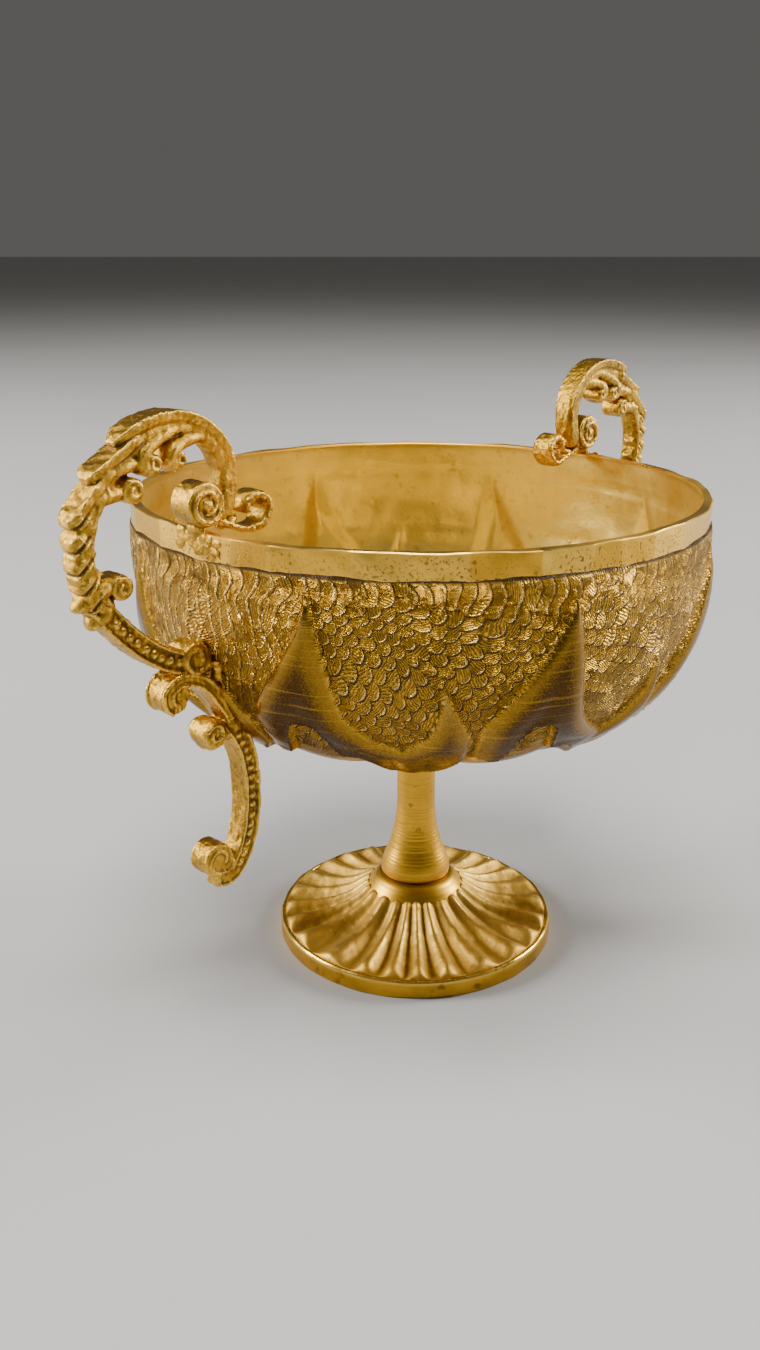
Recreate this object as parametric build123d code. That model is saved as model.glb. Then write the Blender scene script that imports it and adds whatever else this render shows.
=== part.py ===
"""Footed ciborium bowl of gilt brass with two cast scroll handles.

Frame: millimetres, +Z up, origin on the table under the centre of the foot,
X along the line through the two handles.
"""

from build123d import *
from math import asin, cos, radians, sin
import os

# ---------------------------------------------------------------- driving sizes
RIM_RADIUS = 65.0  # outside of the hammered band
RIM_Z = 114.0  # top edge of the lip
FOOT_RADIUS = 34.5  # outside of the foot's edge hoop

# bowl: one raised sheet
SHEET = 1.0
BAND_THICK = 0.9
BAND_HEIGHT = 5.3
LIP_RADIUS = RIM_RADIUS - BAND_THICK  # outside of the sheet at the lip
BELLY_RADIUS = LIP_RADIUS + 0.5  # outside of the sheet at its widest
BOTTOM_Z = 57.0  # outside of the sheet on the axis
HEEL = (46.0, 65.5)  # where the flat bottom arc turns into the side arc

# boss under the bowl, stem, and the collar on the foot
BOSS_RADIUS = 6.6
BOSS_HEIGHT = 1.5
BOSS_NECK_RADIUS = 3.6
BOSS_NECK_LENGTH = 7.0
STEM_WAIST = 4.7
STEM_FLARE = 8.7
STEM_WAIST_Z = 34.0  # the flare runs up to here
STEM_FLARE_MID = (6.3, 24.3)  # radius and height half way up the flare
STEM_LIP_HEIGHT = 1.4
STEM_TOP_SPREAD = 0.15  # the shank is this much wider under the boss
STEM_FOOT_Z = 14.6
GROOVE_RADIUS = 7.9
GROOVE_HEIGHT = 1.0
SPIGOT_RADIUS = 5.6
SPIGOT_DEPTH = 2.2
COLLAR_RADIUS = 13.4
COLLAR_TOP_RADIUS = 9.9
COLLAR_MID = (12.1, 12.7)  # radius and height half way up the collar's side
FOOT_CROWN_Z = 10.0

# foot
HOOP_THICK = 1.2
HOOP_HEIGHT = 4.6
DISH_THICK = 1.8
DISH_EDGE_Z = 4.2
DISH_MID = (24.0, 7.9)
CROWN_MARGIN = 0.4  # flat of the crown that shows round the collar

# tie rod that clamps bowl, stem and foot together
ROD_RADIUS = 2.5
ROD_CLEARANCE = 0.3
ROD_TAIL_Z = 2.6
ROD_HEAD_Z = 55.0
WASHER_THICK = 0.8
WASHER_RADIUS = 6.0
NUT_HEIGHT = 4.0
NUT_FLATS = 8.0

# handles, drawn in the XZ plane on the +X side
ARM_WIDTH = 6.0
ROLL_WIDTH = 6.6
ARM_THICK = 4.2
BRACKET_THICK = 3.6
TAIL_THICK = 3.8
TAIL_WIDTH = 5.4
LEAF_THICK = 2.2
LEAF_WIDTH = 5.0
VOLUTE = (64.1, 119.5, 4.3)  # x, z, radius of the roll that stands on the rim
SHANK_FOOT = (59.0, 119.5)  # middle of the arm where it meets the volute
ARM_TOP = (69.2, 135.0)  # middle of the arm at its highest point
ARM_SIDE = (90.9, 113.9)  # middle of the arm at its widest point
ARM_LOW = (84.4, 98.6)  # middle of the arm half way back to the wall
WALL_ROLL = (68.5, 89.9, 3.4)  # roll at the arm's lower end
ARM_LOBES = ((79.0, 124.4, 2.4), (74.4, 128.2, 2.4), (69.4, 129.3, 2.0), (83.6, 106.6, 2.6))
LEAF_ROLL = (51.2, 117.2, 3.4)  # curled leaf that hangs over the inside of the lip
BRACKET_ROLL = (73.0, 82.6, 3.5)
BRACKET_END = (60.6, 75.4)
TAIL_TOP_ROLL = (64.9, 72.2, 3.3)
TAIL_MID = (55.4, 57.0)  # middle of the tail where it hangs nearest the stem
TAIL_END_ROLL = (64.4, 44.8, 3.5)
BRAZE_WIDTH = 5.0
BRAZE_THICK = 0.6
BRAZE_HEIGHT = 3.0
BRAZE_INNER_X = 60.0
BRAZE_LAP_WIDTH = 10.0
BRAZE_LAP_DROP = 4.4

FIT_GAP = 0.02  # turned parts slide together with this much room


# ---------------------------------------------------------------- small helpers
def turned(*outline):
    """Solid of revolution about Z from a closed outline of lines and arcs in the XZ plane."""
    return revolve(make_face(list(outline)), Axis.Z)


def cylinder(radius, z_low, z_high):
    """Upright cylinder on the Z axis."""
    return Pos(0, 0, z_low) * Cylinder(radius, z_high - z_low, align=(Align.CENTER, Align.CENTER, Align.MIN))


def xz(x, z):
    """Point in the XZ plane."""
    return Vector(x, 0, z)


# ---------------------------------------------------------------- bowl
def bowl_profile(inset):
    """Outline of the bowl's skin, inset from the outer face: bottom arc, side arc, upright wall arc."""
    bottom_r = (HEEL[0] ** 2 + (HEEL[1] - BOTTOM_Z) ** 2) / (2 * (HEEL[1] - BOTTOM_Z))
    slope = asin(HEEL[0] / bottom_r)
    side_r = (BELLY_RADIUS - HEEL[0]) / (1 - sin(slope))
    side_centre = (HEEL[0] - side_r * sin(slope), HEEL[1] + side_r * cos(slope))
    wall_rise = RIM_Z - side_centre[1]
    wall_in = BELLY_RADIUS - LIP_RADIUS
    wall_r = (wall_rise**2 + wall_in**2) / (2 * wall_in)

    r_bottom = bottom_r - inset
    r_side = side_r - inset
    r_wall = wall_r - inset
    bottom_c = BOTTOM_Z + bottom_r
    wall_cx = BELLY_RADIUS - wall_r

    def bottom_at(a):
        return xz(r_bottom * sin(a), bottom_c - r_bottom * cos(a))

    def side_at(a):
        return xz(side_centre[0] + r_side * sin(a), side_centre[1] - r_side * cos(a))

    def wall_at(a):
        return xz(wall_cx + r_wall * cos(a), side_centre[1] + r_wall * sin(a))

    top_angle = asin(wall_rise / r_wall)
    half_way = (slope + radians(90)) / 2
    return (
        ThreePointArc(bottom_at(0), bottom_at(slope / 2), bottom_at(slope)),
        ThreePointArc(side_at(slope), side_at(half_way), side_at(radians(90))),
        ThreePointArc(wall_at(0), wall_at(top_angle / 2), wall_at(top_angle)),
    )


def bowl_block():
    """The bowl's outer shape, filled."""
    arcs = bowl_profile(0)
    return turned(*arcs, Polyline(arcs[-1] @ 1, xz(0, RIM_Z), arcs[0] @ 0))


def bowl():
    """Raised sheet bowl, smooth and closed inside."""
    outer = bowl_profile(0)
    inner = bowl_profile(SHEET)
    return turned(*outer, *inner, Line(outer[-1] @ 1, inner[-1] @ 1), Line(outer[0] @ 0, inner[0] @ 0))


def rim_band():
    """Hammered strap round the outside of the lip."""
    ring = cylinder(RIM_RADIUS, RIM_Z - BAND_HEIGHT, RIM_Z) - cylinder(LIP_RADIUS - 1, RIM_Z - 10, RIM_Z + 1)
    return ring - bowl_block()


# ---------------------------------------------------------------- stem and foot
def bowl_boss():
    """Boss brazed under the bowl; its neck drops into the stem and takes the screwed rod."""
    low = BOTTOM_Z - BOSS_HEIGHT
    blank = cylinder(BOSS_RADIUS, low, BOTTOM_Z + 1) + cylinder(BOSS_NECK_RADIUS, low - BOSS_NECK_LENGTH, low)
    return blank - bowl_block() - cylinder(ROD_RADIUS, low - BOSS_NECK_LENGTH - 1, ROD_HEAD_Z)


def stem():
    """Turned column: straight shank, bell flare, groove and a spigot that sits in the collar."""
    top = BOTTOM_Z - BOSS_HEIGHT
    lip_z = STEM_FOOT_Z + GROOVE_HEIGHT
    flare_z = lip_z + STEM_LIP_HEIGHT
    flare = ThreePointArc(xz(STEM_FLARE, flare_z), xz(*STEM_FLARE_MID), xz(STEM_WAIST, STEM_WAIST_Z))
    outline = Polyline(
        xz(STEM_WAIST, STEM_WAIST_Z),
        xz(STEM_WAIST + STEM_TOP_SPREAD, top),
        xz(0, top),
        xz(0, STEM_FOOT_Z - SPIGOT_DEPTH),
        xz(SPIGOT_RADIUS, STEM_FOOT_Z - SPIGOT_DEPTH),
        xz(SPIGOT_RADIUS, STEM_FOOT_Z),
        xz(GROOVE_RADIUS, STEM_FOOT_Z),
        xz(GROOVE_RADIUS, lip_z),
        xz(STEM_FLARE - 0.5, lip_z),
    )
    lip = ThreePointArc(xz(STEM_FLARE - 0.5, lip_z), xz(STEM_FLARE + 0.1, lip_z + 0.6), xz(STEM_FLARE, flare_z))
    neck_bore = cylinder(BOSS_NECK_RADIUS + FIT_GAP, top - BOSS_NECK_LENGTH - FIT_GAP, top + 1)
    return turned(flare, outline, lip) - cylinder(ROD_RADIUS + ROD_CLEARANCE, 0, top + 1) - neck_bore


def foot_collar():
    """Turned cone ring on the crown of the foot, bored for the stem's spigot."""
    side = ThreePointArc(
        xz(COLLAR_RADIUS, FOOT_CROWN_Z),
        xz(*COLLAR_MID),
        xz(COLLAR_TOP_RADIUS, STEM_FOOT_Z),
    )
    outline = Polyline(
        xz(COLLAR_TOP_RADIUS, STEM_FOOT_Z),
        xz(SPIGOT_RADIUS + FIT_GAP, STEM_FOOT_Z),
        xz(SPIGOT_RADIUS + FIT_GAP, STEM_FOOT_Z - SPIGOT_DEPTH),
        xz(ROD_RADIUS + ROD_CLEARANCE, STEM_FOOT_Z - SPIGOT_DEPTH),
        xz(ROD_RADIUS + ROD_CLEARANCE, FOOT_CROWN_Z),
        xz(COLLAR_RADIUS, FOOT_CROWN_Z),
    )
    return turned(side, outline)


def foot():
    """Cast dish foot, hollow underneath, flat on its crown."""
    edge_r = FOOT_RADIUS - HOOP_THICK
    crown_r = COLLAR_RADIUS + CROWN_MARGIN
    drop = DISH_THICK
    top = ThreePointArc(xz(edge_r, DISH_EDGE_Z), xz(*DISH_MID), xz(crown_r, FOOT_CROWN_Z))
    under = ThreePointArc(
        xz(edge_r, DISH_EDGE_Z - drop), xz(DISH_MID[0], DISH_MID[1] - drop), xz(crown_r, FOOT_CROWN_Z - drop)
    )
    rod_r = ROD_RADIUS + ROD_CLEARANCE
    return turned(
        top,
        Polyline(xz(crown_r, FOOT_CROWN_Z), xz(rod_r, FOOT_CROWN_Z), xz(rod_r, FOOT_CROWN_Z - drop), under @ 1),
        under,
        Line(xz(edge_r, DISH_EDGE_Z), xz(edge_r, DISH_EDGE_Z - drop)),
    )


def foot_hoop():
    """Flat strap round the edge of the foot, standing on the table."""
    return cylinder(FOOT_RADIUS, 0, HOOP_HEIGHT) - cylinder(FOOT_RADIUS - HOOP_THICK, -1, HOOP_HEIGHT + 1)


# ---------------------------------------------------------------- tie rod and its fasteners
def tie_rod():
    """Screwed rod through the whole column."""
    return cylinder(ROD_RADIUS, ROD_TAIL_Z, ROD_HEAD_Z)


def foot_washer():
    """Washer under the crown of the foot."""
    high = FOOT_CROWN_Z - DISH_THICK
    return cylinder(WASHER_RADIUS, high - WASHER_THICK, high) - cylinder(ROD_RADIUS + FIT_GAP, 0, high + 1)


def foot_nut():
    """Hexagon nut under the foot."""
    high = FOOT_CROWN_Z - DISH_THICK - WASHER_THICK
    hexagon = RegularPolygon(NUT_FLATS / 2, 6, major_radius=False)
    blank = Pos(0, 0, high - NUT_HEIGHT) * extrude(hexagon, NUT_HEIGHT)
    return blank - cylinder(ROD_RADIUS + FIT_GAP, 0, high + 1)


# ---------------------------------------------------------------- handles
def strip(edges, thickness, width):
    """Bar of flat section that follows a chain of tangent edges in the XZ plane."""
    path = Wire(edges)
    section = Plane(origin=path @ 0, x_dir=(0, 1, 0), z_dir=path % 0) * Rectangle(width, thickness)
    return sweep(section, path=path)


def roll(disc, width=ROLL_WIDTH):
    """Rolled end or lobe of a scroll: a short cylinder across the handle's plane."""
    x, z, radius = disc
    return Pos(x, 0, z) * Rot(90, 0, 0) * Cylinder(radius, width)


def bend(start, end, way):
    """Arc from start to end that leaves start along a given way."""
    return TangentArc(start, end, tangent=way)


def upper_scroll():
    """Main C scroll: volute on the rim, over the top, down the outside and back to the wall."""
    shank = bend(xz(*ARM_TOP), xz(*SHANK_FOOT), xz(-1, 0))
    crown = bend(xz(*ARM_TOP), xz(*ARM_SIDE), xz(1, 0))
    side = bend(crown @ 1, xz(*ARM_LOW), crown % 1)
    lower = bend(side @ 1, xz(WALL_ROLL[0] + 0.5, WALL_ROLL[1] - 1.6), side % 1)
    arm = strip([shank], ARM_THICK, ARM_WIDTH) + strip([crown, side, lower], ARM_THICK, ARM_WIDTH)
    for lobe in ARM_LOBES:
        arm += roll(lobe, ARM_WIDTH)
    return arm + roll(VOLUTE) + roll(WALL_ROLL)


def rim_leaf():
    """Small leaf that runs inward from the volute and curls up over the inside of the lip."""
    start = xz(VOLUTE[0] - 3.6, VOLUTE[1] - 2.0)
    stalk = bend(start, xz(LEAF_ROLL[0], LEAF_ROLL[1] - LEAF_ROLL[2] + 1), xz(-1, -0.6))
    return strip([stalk], LEAF_THICK, LEAF_WIDTH) + roll(LEAF_ROLL, LEAF_WIDTH)


def bracket_scroll():
    """Short scroll that lies along the wall under the main one."""
    back = bend(xz(BRACKET_ROLL[0] - 0.3, BRACKET_ROLL[1] + 1.6), xz(*BRACKET_END), xz(-1, 0.25))
    return strip([back], BRACKET_THICK, ARM_WIDTH) + roll(BRACKET_ROLL)


def tail_scroll():
    """Long scroll that hangs free below the bowl and ends in an outward roll."""
    back = bend(xz(BRACKET_END[0] - 0.2, BRACKET_END[1] - 1.2), xz(*TAIL_MID), xz(-0.6, -1))
    hook = bend(back @ 1, xz(TAIL_END_ROLL[0] - 1.5, TAIL_END_ROLL[1] - 1.8), back % 1)
    arm = strip([back, hook], TAIL_THICK, TAIL_WIDTH)
    return arm + roll(TAIL_TOP_ROLL, ARM_WIDTH) + roll(TAIL_END_ROLL, ARM_WIDTH)


def block(x_low, x_high, width, z_low, z_high):
    """Box centred on the handle's plane."""
    size = (x_high - x_low, width, z_high - z_low)
    return Pos((x_low + x_high) / 2, 0, (z_low + z_high) / 2) * Box(*size)


def rim_braze(upper, leaf, band):
    """Brazing metal under the volute, lapped over the outside of the band."""
    outer = RIM_RADIUS + BRAZE_THICK
    saddle = block(BRAZE_INNER_X, outer, BRAZE_WIDTH, RIM_Z - 0.1, RIM_Z + BRAZE_HEIGHT)
    lap_ring = cylinder(outer, RIM_Z - BRAZE_LAP_DROP, RIM_Z) - cylinder(RIM_RADIUS, 0, RIM_Z + 1)
    lap = lap_ring & block(BRAZE_INNER_X - 10, outer + 5, BRAZE_LAP_WIDTH, 0, RIM_Z + 1)
    inside = cylinder(LIP_RADIUS - SHEET, RIM_Z - 1, RIM_Z + 9)
    return saddle + lap - inside - bowl() - band - upper - leaf


def wall_braze(upper, bracket):
    """Brazing metal between the wall, the main scroll's lower roll and the bracket scroll."""
    fill = block(BRAZE_INNER_X, WALL_ROLL[0] - 1.2, BRAZE_WIDTH, BRACKET_ROLL[1] + 1.4, WALL_ROLL[1] + 2.4)
    return fill - bowl_block() - upper - bracket


# ---------------------------------------------------------------- assembly
def largest(shape):
    """The biggest solid of a shape."""
    return max(shape.solids(), key=lambda s: s.volume)


def handle_pieces():
    """The six pieces of one handle, on the +X side."""
    skin_gap = bowl_block() + cylinder(RIM_RADIUS + 0.1, RIM_Z - BAND_HEIGHT, RIM_Z)
    upper = largest(upper_scroll() - skin_gap)
    leaf = largest(rim_leaf() - upper_scroll())
    bracket = largest(bracket_scroll() - bowl_block() - upper)
    tail = largest(tail_scroll() - bowl_block() - bracket)
    return {
        "upper_scroll": upper,
        "rim_leaf": leaf,
        "bracket_scroll": bracket,
        "tail_scroll": tail,
        "rim_braze": largest(rim_braze(upper, leaf, rim_band())),
        "wall_braze": largest(wall_braze(upper, bracket)),
    }


def main():
    """Makes every node and writes its STEP file."""
    nodes = {
        "bowl": bowl(),
        "rim_band": rim_band(),
        "bowl_boss": bowl_boss(),
        "stem": stem(),
        "foot_collar": foot_collar(),
        "foot": foot(),
        "foot_hoop": foot_hoop(),
        "tie_rod": tie_rod(),
        "foot_washer": foot_washer(),
        "foot_nut": foot_nut(),
    }
    pieces = handle_pieces()
    for side, turn in (("left", 180), ("right", 0)):
        for name, piece in pieces.items():
            nodes[f"{side}_{name}"] = Rot(0, 0, turn) * piece

    os.makedirs("parts", exist_ok=True)
    for name, shape in nodes.items():
        export_step(shape, f"parts/{name}.step")
        print(name, round(shape.volume, 1), "mm3")


main()
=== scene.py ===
"""Looks of the gilt ciborium: chased bowl, hammered band, turned stem, fluted foot and cast scroll handles."""

import math

import bmesh
import bpy
import numpy as np
from bpy.props import FloatProperty, FloatVectorProperty, IntProperty, PointerProperty
from mathutils import Matrix, Vector


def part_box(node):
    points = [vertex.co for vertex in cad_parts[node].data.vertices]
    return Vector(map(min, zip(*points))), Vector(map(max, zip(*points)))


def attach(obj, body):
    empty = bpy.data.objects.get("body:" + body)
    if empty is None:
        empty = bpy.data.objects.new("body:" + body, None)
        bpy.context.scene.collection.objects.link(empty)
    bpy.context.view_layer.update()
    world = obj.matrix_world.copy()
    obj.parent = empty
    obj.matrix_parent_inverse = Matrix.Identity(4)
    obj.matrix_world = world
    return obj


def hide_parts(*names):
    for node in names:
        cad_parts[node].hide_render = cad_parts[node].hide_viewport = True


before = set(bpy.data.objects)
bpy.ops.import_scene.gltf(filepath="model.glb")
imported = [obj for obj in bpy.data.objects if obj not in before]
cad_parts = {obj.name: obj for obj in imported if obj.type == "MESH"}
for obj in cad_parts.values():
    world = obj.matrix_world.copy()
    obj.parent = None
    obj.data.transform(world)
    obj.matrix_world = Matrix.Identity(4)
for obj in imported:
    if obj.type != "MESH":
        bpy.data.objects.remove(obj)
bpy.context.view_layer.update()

bl_info = {
    "name": "Ciborium",
    "version": (1, 0, 0),
    "blender": (4, 5, 0),
    "location": "View3D > Sidebar > Ciborium",
    "description": "Models the chased bowl, stem, foot and handles of a gilt ciborium around its CAD frame",
    "category": "Object",
}

MM = 0.001
RIM_LOW, RIM_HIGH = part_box("rim_band")
RIM_RADIUS = RIM_HIGH.x
LIP_Z = RIM_HIGH.z
BAND_HEIGHT = RIM_HIGH.z - RIM_LOW.z
FOOT_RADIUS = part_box("foot_hoop")[1].x
HOOP_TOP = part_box("foot_hoop")[1].z
COLLAR_LOW, COLLAR_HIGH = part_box("foot_collar")


def length(name, description, default):
    """A size in metres that the user can change."""
    return FloatProperty(name=name, description=description, default=default, subtype="DISTANCE", unit="LENGTH")


def tint(name, description, default):
    """A colour that the user can change."""
    return FloatVectorProperty(name=name, description=description, default=default, subtype="COLOR", min=0, max=1)


# ---------------------------------------------------------------- settings
class CiboriumBowlSettings(bpy.types.PropertyGroup):
    """Sizes of the chased bowl."""

    radius: length("Radius", "Radius of the sheet at its widest", RIM_RADIUS)
    bottom: length("Bottom", "Height of the underside on the axis", 0.0579)
    sheet: length("Sheet", "Thickness of the metal", 0.0010)
    petal_rise: length("Petal rise", "How far the petals stand out from the ground", 0.0021)
    petal_roll: length("Petal roll", "Width of a petal's rounded edge", 0.0046)
    scale_rise: length("Scale rise", "How far a punched scale's lip stands out", 0.00040)
    lobe_rise: length("Lobe rise", "Depth of the lobes on the underside", 0.0013)
    steps: IntProperty(name="Steps", description="Divisions round the bowl", default=640)


class CiboriumBandSettings(bpy.types.PropertyGroup):
    """Sizes of the hammered band."""

    radius: length("Radius", "Outer radius of the band", RIM_RADIUS)
    height: length("Height", "Height of the band", BAND_HEIGHT)
    thickness: length("Thickness", "Thickness of the strap", 0.0009)
    wander: length("Wander", "How far the edges wander up and down", 0.00028)
    facets: IntProperty(name="Facets", description="Hammer facets round the band", default=34)


class CiboriumFootSettings(bpy.types.PropertyGroup):
    """Sizes of the foot, stem and collar."""

    foot_radius: length("Foot radius", "Outer radius of the foot", FOOT_RADIUS)
    crown: length("Crown", "Height of the foot's crown", COLLAR_LOW.z)
    flute_rise: length("Flute rise", "Height of a flute over the groove beside it", 0.0019)
    flutes: IntProperty(name="Flutes", description="Number of flutes", default=24)
    waist: length("Waist", "Radius of the stem's shank", 0.00474)
    ring_depth: length("Ring depth", "Depth of the turning marks", 0.000014)


class CiboriumHandleSettings(bpy.types.PropertyGroup):
    """Sizes of the cast handles."""

    width: length("Width", "Width of an arm across the handle", 0.0054)
    thickness: length("Thickness", "Thickness of an arm in the handle's plane", 0.0043)
    bead: length("Bead", "Radius of a bead in the arm's channel", 0.00095)
    bead_pitch: length("Bead pitch", "Distance from bead to bead", 0.0022)
    grain: length("Grain", "Height of the casting's rough skin", 0.00017)
    voxel: length("Voxel", "Cell size that fuses a casting's parts", 0.00021)


class CiboriumFinishSettings(bpy.types.PropertyGroup):
    """Colours of the metal."""

    gold: tint("Gold", "Clean gilding", (0.78, 0.425, 0.034))
    # pale is also the painted highlight on the foot's flute ridges, and wear with a painted highlight on the handles'
    # high edges.
    pale: tint("Pale", "Worn, burnished places", (0.95, 0.62, 0.115))
    orange: tint("Orange", "Smooth inside of the bowl", (0.82, 0.61, 0.14))
    # brown is laid into recesses and spots, and in the chased ground it is also the painted shadow past the scale lips.
    brown: tint("Brown", "Dirt in the recesses", (0.060, 0.025, 0.004))
    brass: tint("Brass", "Bare brass of the fasteners", (0.70, 0.52, 0.24))


# ---------------------------------------------------------------- modelling helpers
def nothing_selected():
    """Object mode with nothing selected, so that an operator acts on new things only."""
    if bpy.context.object and bpy.context.object.mode != "OBJECT":
        bpy.ops.object.mode_set(mode="OBJECT")
    bpy.ops.object.select_all(action="DESELECT")


def only(piece):
    """Makes a piece the one selected and active object."""
    nothing_selected()
    piece.select_set(True)
    bpy.context.view_layer.objects.active = piece


def finished(piece, name, slot, *nodes):
    """Names a piece, puts it on the frame and hides the CAD nodes it stands for."""
    piece.name = piece.data.name = name
    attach(piece, "root")
    if nodes:
        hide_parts(*nodes)
    return piece


def modified(piece, kind, **settings):
    """Adds a modifier to a piece and applies it."""
    only(piece)
    bpy.ops.object.modifier_add(type=kind)
    modifier = piece.modifiers[-1]
    for key, value in settings.items():
        setattr(modifier, key, value)
    bpy.ops.object.modifier_apply(modifier=modifier.name)


def spun(outline, steps, closed=False, marks=None):
    """Turns an outline of (radius, height) points once round Z; marks is a number kept for each point."""
    points = [(r * MM, 0.0, z * MM) for r, z in outline]
    count = len(points)
    edges = [(i, (i + 1) % count) for i in range(count if closed else count - 1)]
    mesh = bpy.data.meshes.new("spun")
    mesh.from_pydata(points, edges, [])
    if marks is not None:
        mesh.attributes.new("reach", "FLOAT", "POINT").data.foreach_set("value", np.array(marks, np.float32))
    piece = bpy.data.objects.new("spun", mesh)
    bpy.context.scene.collection.objects.link(piece)
    only(piece)
    bpy.ops.object.mode_set(mode="EDIT")
    bpy.ops.mesh.select_all(action="SELECT")
    bpy.ops.mesh.spin(steps=steps, angle=2 * math.pi, center=(0, 0, 0), axis=(0, 0, 1))
    bpy.ops.mesh.select_all(action="SELECT")
    bpy.ops.mesh.remove_doubles(threshold=1e-6)
    bpy.ops.mesh.normals_make_consistent(inside=False)
    bpy.ops.object.mode_set(mode="OBJECT")
    bpy.ops.object.shade_smooth()
    return piece


def points_of(mesh):
    """The vertices of a mesh as an array in millimetres."""
    co = np.empty(len(mesh.vertices) * 3)
    mesh.vertices.foreach_get("co", co)
    return co.reshape(-1, 3) / MM


def set_points(mesh, points):
    """Moves the vertices of a mesh to an array of places in millimetres."""
    mesh.vertices.foreach_set("co", (points * MM).ravel())
    mesh.update()


def marks_of(mesh):
    """The numbers that spun() kept for the outline's points, one for each vertex."""
    values = np.empty(len(mesh.vertices), np.float32)
    mesh.attributes["reach"].data.foreach_get("value", values)
    return values.astype(float)


def paint(mesh, name, values):
    """Stores one number for each vertex for a material to read."""
    mesh.attributes.new(name, "FLOAT", "POINT").data.foreach_set("value", values.astype(np.float32))


def eased(low, high, x):
    """0 below low, 1 above high and a soft step between."""
    t = np.clip((x - low) / (high - low), 0, 1)
    return t * t * (3 - 2 * t)


def dome(depth, width):
    """Quarter-round rise from 0 at an edge to 1 at a depth of width."""
    return np.sqrt(1 - (1 - np.clip(depth / width, 0, 1)) ** 2)


def ripple(points, size, seed):
    """Soft uneven field from -1 to 1 over space, with bumps about as large as size."""
    rng = np.random.default_rng(seed)
    total = np.zeros(len(points))
    for _ in range(7):
        direction = rng.normal(size=3)
        direction /= np.linalg.norm(direction)
        total += np.sin(points @ direction * (math.pi / size * rng.uniform(0.7, 1.3)) + rng.uniform(0, 6.3))
    return total / 3.5


# ---------------------------------------------------------------- chased bowl
ROWS_ROUND, COLUMNS_ROUND, STROKES_ROUND = 110, 88, 136
ROW_MM, COLUMN_MM = 2 * math.pi * 64 / math.sqrt(2) / ROWS_ROUND, 2 * math.pi * 64 / math.sqrt(2) / COLUMNS_ROUND


def bowl_section(settings, count=6000):
    """Outer line of the sheet from bottom to lip: distance along it, radius, radius with the step, height, normal."""
    top, low, widest = LIP_Z / MM - BAND_HEIGHT / MM, settings.bottom / MM, settings.radius / MM
    turn = np.linspace(math.pi / 2, 0, count)
    height = top - np.sin(turn) ** (2 / 3.2) * (top - low)
    radius = widest * np.cos(turn) ** (2 / 2.6)
    radius[0] = 0
    lip_z = np.linspace(top, LIP_Z / MM - 0.4, 200)[1:]
    stepped = np.append(radius, np.interp(lip_z, [top, top + 1.0, LIP_Z / MM], [widest, widest - 1.0, widest - 1.0]))
    height, radius = np.append(height, lip_z), np.append(radius, np.full(len(lip_z), widest))
    reach = np.append(0, np.cumsum(np.hypot(np.diff(radius), np.diff(height))))
    out_r, out_z = np.gradient(height, reach), -np.gradient(radius, reach)
    size = np.hypot(out_r, out_z)
    return reach, radius, stepped, height, out_r / size, out_z / size


def scales(along, across):
    """Rise from 0 to 1 of overlapping round-lipped scales on a lattice."""
    row = np.floor(along)
    part = along - row
    shifted = across + 0.5 * (row % 2)
    side = np.abs(shifted - np.floor(shifted) - 0.5)
    lip = 0.35 + 0.65 * np.sqrt(1 - (2 * side) ** 2)
    next_lip = 0.35 + 0.65 * np.sqrt(1 - (1 - 2 * side) ** 2)
    gap = np.where(part < lip, lip - part, next_lip + 1 - part)
    return 1 - gap / 1.65


def petal_depths(turn, height, radius):
    """How far inside the big and the small petals a point lies, in millimetres, and the turn from a big tip."""
    big = turn % 45 - 22.5
    small = (turn + 22.5) % 45 - 22.5
    to_mm = radius * math.pi / 180
    t = np.clip((106 - height) / 32, 0, 1.15)
    left = np.minimum(18 * t**1.4, 14.3)
    right = np.minimum(5.5 * t**0.7 + 7 * t**8, 17)
    in_big = np.minimum(big + left, right - big) * to_mm
    in_big = np.where(height > 106, 106 - height, in_big)
    t = np.clip((90 - height) / 18, 0, 1.2)
    left = np.minimum(8 * t**5 - 0.6 * (1 - t), 11)
    right = np.minimum(8.7 * t**1.15, 6.8)
    in_small = np.minimum(small + left, right - small) * to_mm
    in_small = np.where(height > 90, 90 - height, in_small)
    return in_big, in_small, big


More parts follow.
